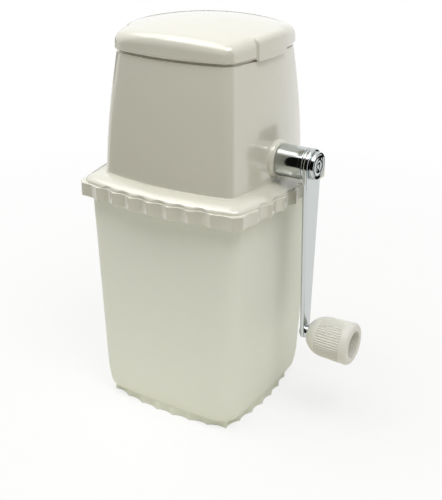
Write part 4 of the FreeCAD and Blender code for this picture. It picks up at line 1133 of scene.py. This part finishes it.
class CRUSHER_OT_rotor(bpy.types.Operator):
    """Builds blades, sleeves and retaining ring, and finishes the shaft"""
    bl_idname = "crusher.rotor"
    bl_label = "Rotor"
    bl_options = {"REGISTER", "UNDO"}

    def execute(self, context):
        works = context.scene.crusher_works
        steel = shared(ground_steel, works)
        for name in sorted(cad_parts):
            if name.startswith("rotor_blade_"):
                add_piece(f"{name}_ground", self.blade(works, name), steel, "crank", [name],
                          sharp=12.0)
            elif name.startswith(("rotor_spacer_", "rotor_collar_")):
                add_piece(f"{name}_turned", self.sleeve(works, name), steel, "crank", [name])
        groove, edge = 0.00322, 0.0003
        add_piece("shaft_clip_turned",
                  turned(bored("shaft_clip", groove, (0, edge, edge, 0)), AXLE, 72),
                  steel, "crank", ["shaft_clip"])
        refinish("rotor_shaft", steel)
        return {"FINISHED"}

    @staticmethod
    def holed(works, rays, levels):
        """Mesh of rings about the axle with the hexagonal hole; a level is place and reaches."""
        hole = []
        for a in rays:
            folded = (a - math.radians(15)) % math.radians(60) - math.radians(30)
            hole.append(works.hex_flat / math.cos(folded))
        levels = [*levels, (levels[-1][0], hole), (levels[0][0], hole)]
        return skin([[spun(AXLE, x, r, a - math.pi / 2) for a, r in zip(rays, reaches)]
                     for x, reaches in levels], loop=True)

    def sleeve(self, works, node):
        """Spacer or collar with softened edges."""
        low, high = ends_of(node)
        rays, edge = [math.radians(3 * k) for k in range(120)], 0.0004
        full = [radius_of(node)] * len(rays)
        eased = [r - edge for r in full]
        return self.holed(works, rays, [(low, eased), (low + edge, full),
                                        (high - edge, full), (high, eased)])

    def blade(self, works, node):
        """Raked points with edges ground on both faces."""
        low, high = ends_of(node)
        index, count, whole = int(node.rsplit("_", 1)[1]) - 1, works.blade_points, 2 * math.pi
        corners = []
        for i in range(count):
            base = index * works.blade_turn + whole * i / count
            corners += [((base + works.blade_rake) % whole, works.blade_tip),
                        ((base + math.pi / count) % whole, works.blade_root)]
        corners.sort()
        rays = sorted(set(round(a, 9) for a in [a for a, _ in corners]
                          + [math.radians(3 * k) for k in range(120)]))

        def reach(ray):
            """How far out the straight-sided outline is along a ray."""
            for (start, near), (end, far) in zip(corners, corners[1:] + corners[:1]):
                wide, part = (end - start) % whole, (ray - start) % whole
                if part <= wide + 1e-8:
                    return near * far * math.sin(wide) / (
                        near * math.sin(part) + far * math.sin(wide - part))
            raise RuntimeError(f"{node} is open")

        full = [reach(ray) for ray in rays]
        ground = [r - works.grind for r in full]
        middle, land = (low + high) / 2, 0.0003
        return self.holed(works, rays, [(low, ground), (middle - land, full),
                                        (middle + land, full), (high, ground)])


class CRUSHER_OT_works(bpy.types.Operator):
    """Builds the bushes and screws, and finishes hopper and combs"""
    bl_idname = "crusher.works"
    bl_label = "Hopper and Combs"
    bl_options = {"REGISTER", "UNDO"}

    def execute(self, context):
        works = context.scene.crusher_works
        steel, plastic = shared(ground_steel, works), shared(inner_plastic, works)
        refinish("hopper_chute", plastic)
        refinish("comb_front", steel)
        refinish("comb_rear", steel)
        for node, profile in self.bushes():
            add_piece(f"{node}_turned", turned(profile, AXLE, 72), plastic, "head", [node])
        for node, mesh in self.screws():
            add_piece(f"{node}_driven", mesh, steel, "head", [node])
        return {"FINISHED"}

    @staticmethod
    def bushes():
        """The flanged bushes of the throat and the plain one of the boss, with profiles."""
        bore, body, thick = 0.00405, 0.0070, 0.0020
        for side in ("left", "right"):
            node = f"throat_bush_{side}"
            inner, outer = ends_of(node)
            lip, step = radius_of(node), -thick
            if side == "left":
                inner, outer, step = outer, inner, thick
            yield node, softened([(inner, bore, 0.0002), (inner, body, 0.0003),
                                  (outer + step, body, 0), (outer + step, lip, 0.0003),
                                  (outer, lip, 0.0005), (outer, bore, 0.0003)])
        yield "boss_bush", bored("boss_bush", bore, (0.0002, 0.0003, 0.0002, 0.0003))

    def screws(self):
        """The groups of pan-head screws, with meshes."""
        seat, comb_height, comb_face, comb_side, cap = 0.190, 0.1754, 0.0295, 0.019, 0.0022
        up = Matrix.Rotation(math.radians(-90), 4, "Y")
        yield "hopper_screws", joined(*(
            self.screw(0.0015, 0.0028, cap, 0.0140,
                       Matrix.Translation((LUG_HOLE * sx, LUG_HOLE * sy, seat)) @ up)
            for sx, sy in QUARTERS))
        for side, sign in (("front", -1), ("rear", 1)):
            inward = Matrix.Rotation(math.radians(-90 * sign), 4, "Z")
            yield f"comb_screws_{side}", joined(*(
                self.screw(0.0020, 0.0036, cap, 0.0045,
                           Matrix.Translation((x, sign * comb_face, comb_height)) @ inward)
                for x in (comb_side, -comb_side)))

    @staticmethod
    def screw(shank, head, cap, reach, place):
        """One screw along +X, its cross-cut head behind the seat, moved to its place."""
        dome = [(-cap, 0.0, 0), (-cap, head * 0.55, 0.0006), (-cap * 0.45, head, 0.0004),
                (0.0, head, 0), (0.0, shank, 0), (reach - shank * 0.6, shank, 0),
                (reach, shank * 0.45, 0.0002), (reach, 0.0, 0)]
        mesh = turned(softened(dome, loop=False), Vector(), 40, loop=False)
        wide, long, proud = head * 0.13, head * 0.55, 0.0003
        for y, z in ((wide, long), (long, wide)):
            corners = [Vector((-cap - proud, y * sy, z * sz))
                       for sy, sz in ((-1, -1), (1, -1), (1, 1), (-1, 1))]
            mesh = combined(mesh, prism(corners, Vector((1, 0, 0)), cap * 0.62 + proud))
        bmesh.ops.transform(mesh, matrix=place, verts=mesh.verts)
        return mesh


class CRUSHER_OT_stage(bpy.types.Operator):
    """Sets up floor, lamps, sky and camera"""
    bl_idname = "crusher.stage"
    bl_label = "Stage"
    bl_options = {"REGISTER", "UNDO"}

    def execute(self, context):
        stage = context.scene.crusher_stage
        context.scene.view_settings.view_transform = "Standard"
        self.camera(context, stage)
        self.floor(stage)
        self.sky(context, stage)
        self.lamp("left_lamp", (-0.52, -0.08, 1.18), (0.80, 0.90), stage.left)
        self.lamp("right_lamp", (0.55, -0.20, 1.12), (0.50, 0.50), stage.right)
        self.lamp("top_lamp", (0.0, -0.38, 1.22), (1.30, 0.50), stage.top)
        self.dark_cloth("front_cloth", (-152, -8), ((0.38, 0.002), (0.42, 0.30), (0.42, 0.62)))
        self.dark_cloth("hub_card", (23, 41), ((0.122, 0.132), (0.122, 0.165)))
        self.dark_cloth("rear_cloth", (112, 185), ((0.80, 0.10), (0.80, 0.20)))
        return {"FINISHED"}

    @staticmethod
    def camera(context, stage):
        data = bpy.data.cameras.new("camera")
        data.sensor_width = 36.0
        data.lens = stage.lens
        data.shift_x = 0.0609
        data.shift_y = -0.0161
        data.clip_start, data.clip_end = 0.01, 50.0
        camera = bpy.data.objects.new("camera", data)
        camera.location = stage.place
        camera.rotation_euler = (math.pi / 2 - stage.elevation, 0.0, stage.azimuth)
        context.scene.collection.objects.link(camera)
        context.scene.camera = camera

    @staticmethod
    def seen_plain(made):
        """1 for rays from camera, metal or glass, and 0 for rays that only light."""
        path = "ShaderNodeLightPath"
        seen = (made.node(path, output="Is Camera Ray") + made.node(path, output="Is Glossy Ray")
                + made.node(path, output="Is Transmission Ray"))
        return seen.clamped()

    @staticmethod
    def staged(name, mesh, finish):
        """An object of the stage, with its finish, attached to no body."""
        made = new_object(name, mesh)
        made.data.materials.append(finish)
        return made

    def floor(self, stage):
        """Pale floor with a soft glow in view, dark in front and clear from below."""
        half, count, fade, least_glow = 4.0, 16, 0.10, 0.72
        mesh = bmesh.new()
        bmesh.ops.create_grid(mesh, x_segments=count, y_segments=count, size=half)
        made = new_finish("floor_pale")
        forward = made.node("ShaderNodeSeparateXYZ", None, {0: made.place()}, output="Y")
        beyond = ((stage.floor_front - forward) / fade).clamped()
        tone = made.mixed(made.noise(3.0, 2.0) * 0.2, stage.floor, dimmed(stage.floor, 0.97))
        lit = made.diffuse(made.mixed(beyond, tone, (0.06, 0.06, 0.06)))
        white = made.diffuse((0.97, 0.97, 0.97, 1.0))
        glow = made.node("ShaderNodeEmission", None, {"Strength": 1.0})
        away = made.node("ShaderNodeVectorMath", {"operation": "LENGTH"}, {0: made.place()},
                         output="Value")
        far = made.ramp(away, 0.12, 0.55)
        share_of_glow = least_glow + (1.0 - least_glow) * far
        shown = made.either(self.seen_plain(made), lit, made.either(share_of_glow, white, glow))
        below = made.node("ShaderNodeNewGeometry", output="Backfacing")
        made.close(made.either(below, shown, made.node("ShaderNodeBsdfTransparent")))
        self.staged("floor", mesh, made.block)

    def sky(self, context, stage):
        """Weak warm light from all round that shows as plain white."""
        world = bpy.data.worlds.new("sky")
        context.scene.world = world
        made = Finish(world)
        seen = self.seen_plain(made)
        light = made.node("ShaderNodeBackground", None,
                          {"Color": made.mixed(seen, stage.warm, (1.0, 1.0, 1.0)),
                           "Strength": seen * (1.0 - stage.sky) + stage.sky})
        made.close(light, "ShaderNodeOutputWorld")

    @staticmethod
    def lamp(name, place, size, strength):
        """Soft lamp that faces the object."""
        data = bpy.data.lights.new(name, "AREA")
        data.shape = "RECTANGLE"
        data.size, data.size_y = size
        data.energy = strength
        lamp = bpy.data.objects.new(name, data)
        lamp.location = place
        lamp.rotation_mode = "QUATERNION"
        aim = Vector((0.0, 0.0, 0.13))
        lamp.rotation_quaternion = (aim - lamp.location).to_track_quat("-Z", "Y")
        bpy.context.scene.collection.objects.link(lamp)

    def dark_cloth(self, name, turns, rings):
        """Dark cloth that stands round part of the object and only shows in its gloss."""
        mesh = bmesh.new()
        around = [math.radians(turn) for turn in spread(*turns, 30)]
        rows = [[mesh.verts.new((radius * math.cos(a), radius * math.sin(a), height))
                 for a in around] for radius, height in rings]
        for low, high in zip(rows, rows[1:]):
            strip(mesh, low, high, closed=False)
        made = new_finish("cloth_black")
        made.close(made.diffuse((0.01, 0.01, 0.01, 1.0)))
        cloth = self.staged(name, mesh, made.block)
        cloth.visible_camera = False
        cloth.visible_diffuse = False
        cloth.visible_shadow = False
        cloth.visible_transmission = False


PIECES = (CRUSHER_OT_tub, CRUSHER_OT_head, CRUSHER_OT_lid, CRUSHER_OT_works, CRUSHER_OT_rotor,
          CRUSHER_OT_hub, CRUSHER_OT_arm, CRUSHER_OT_knob, CRUSHER_OT_stage)


class CRUSHER_PT_panel(bpy.types.Panel):
    """Buttons for the pieces and the stage, over the sizes and colours they use"""
    bl_idname = "CRUSHER_PT_panel"
    bl_label = "Ice Crusher"
    bl_space_type = "VIEW_3D"
    bl_region_type = "UI"
    bl_category = "Ice Crusher"

    def draw(self, context):
        for kind in PIECES:
            self.layout.operator(kind.bl_idname)
        for name, group in SETTINGS.items():
            box = self.layout.box()
            box.label(text=group.__doc__)
            for item in group.__annotations__:
                box.prop(getattr(context.scene, name), item)


SETTINGS = {
    "crusher_tub": TubSettings,
    "crusher_head": HeadSettings,
    "crusher_lid": LidSettings,
    "crusher_crank": CrankSettings,
    "crusher_knob": KnobSettings,
    "crusher_works": WorksSettings,
    "crusher_stage": StageSettings,
}


def register():
    for name, group in SETTINGS.items():
        bpy.utils.register_class(group)
        setattr(bpy.types.Scene, name, PointerProperty(type=group))
    for kind in (*PIECES, CRUSHER_PT_panel):
        bpy.utils.register_class(kind)


def unregister():
    for kind in (CRUSHER_PT_panel, *reversed(PIECES)):
        bpy.utils.unregister_class(kind)
    for name, group in SETTINGS.items():
        delattr(bpy.types.Scene, name)
        bpy.utils.unregister_class(group)


def main():
    register()
    for kind in PIECES:
        family, name = kind.bl_idname.split(".")
        getattr(getattr(bpy.ops, family), name)()


if __name__ == "__main__":
    main()
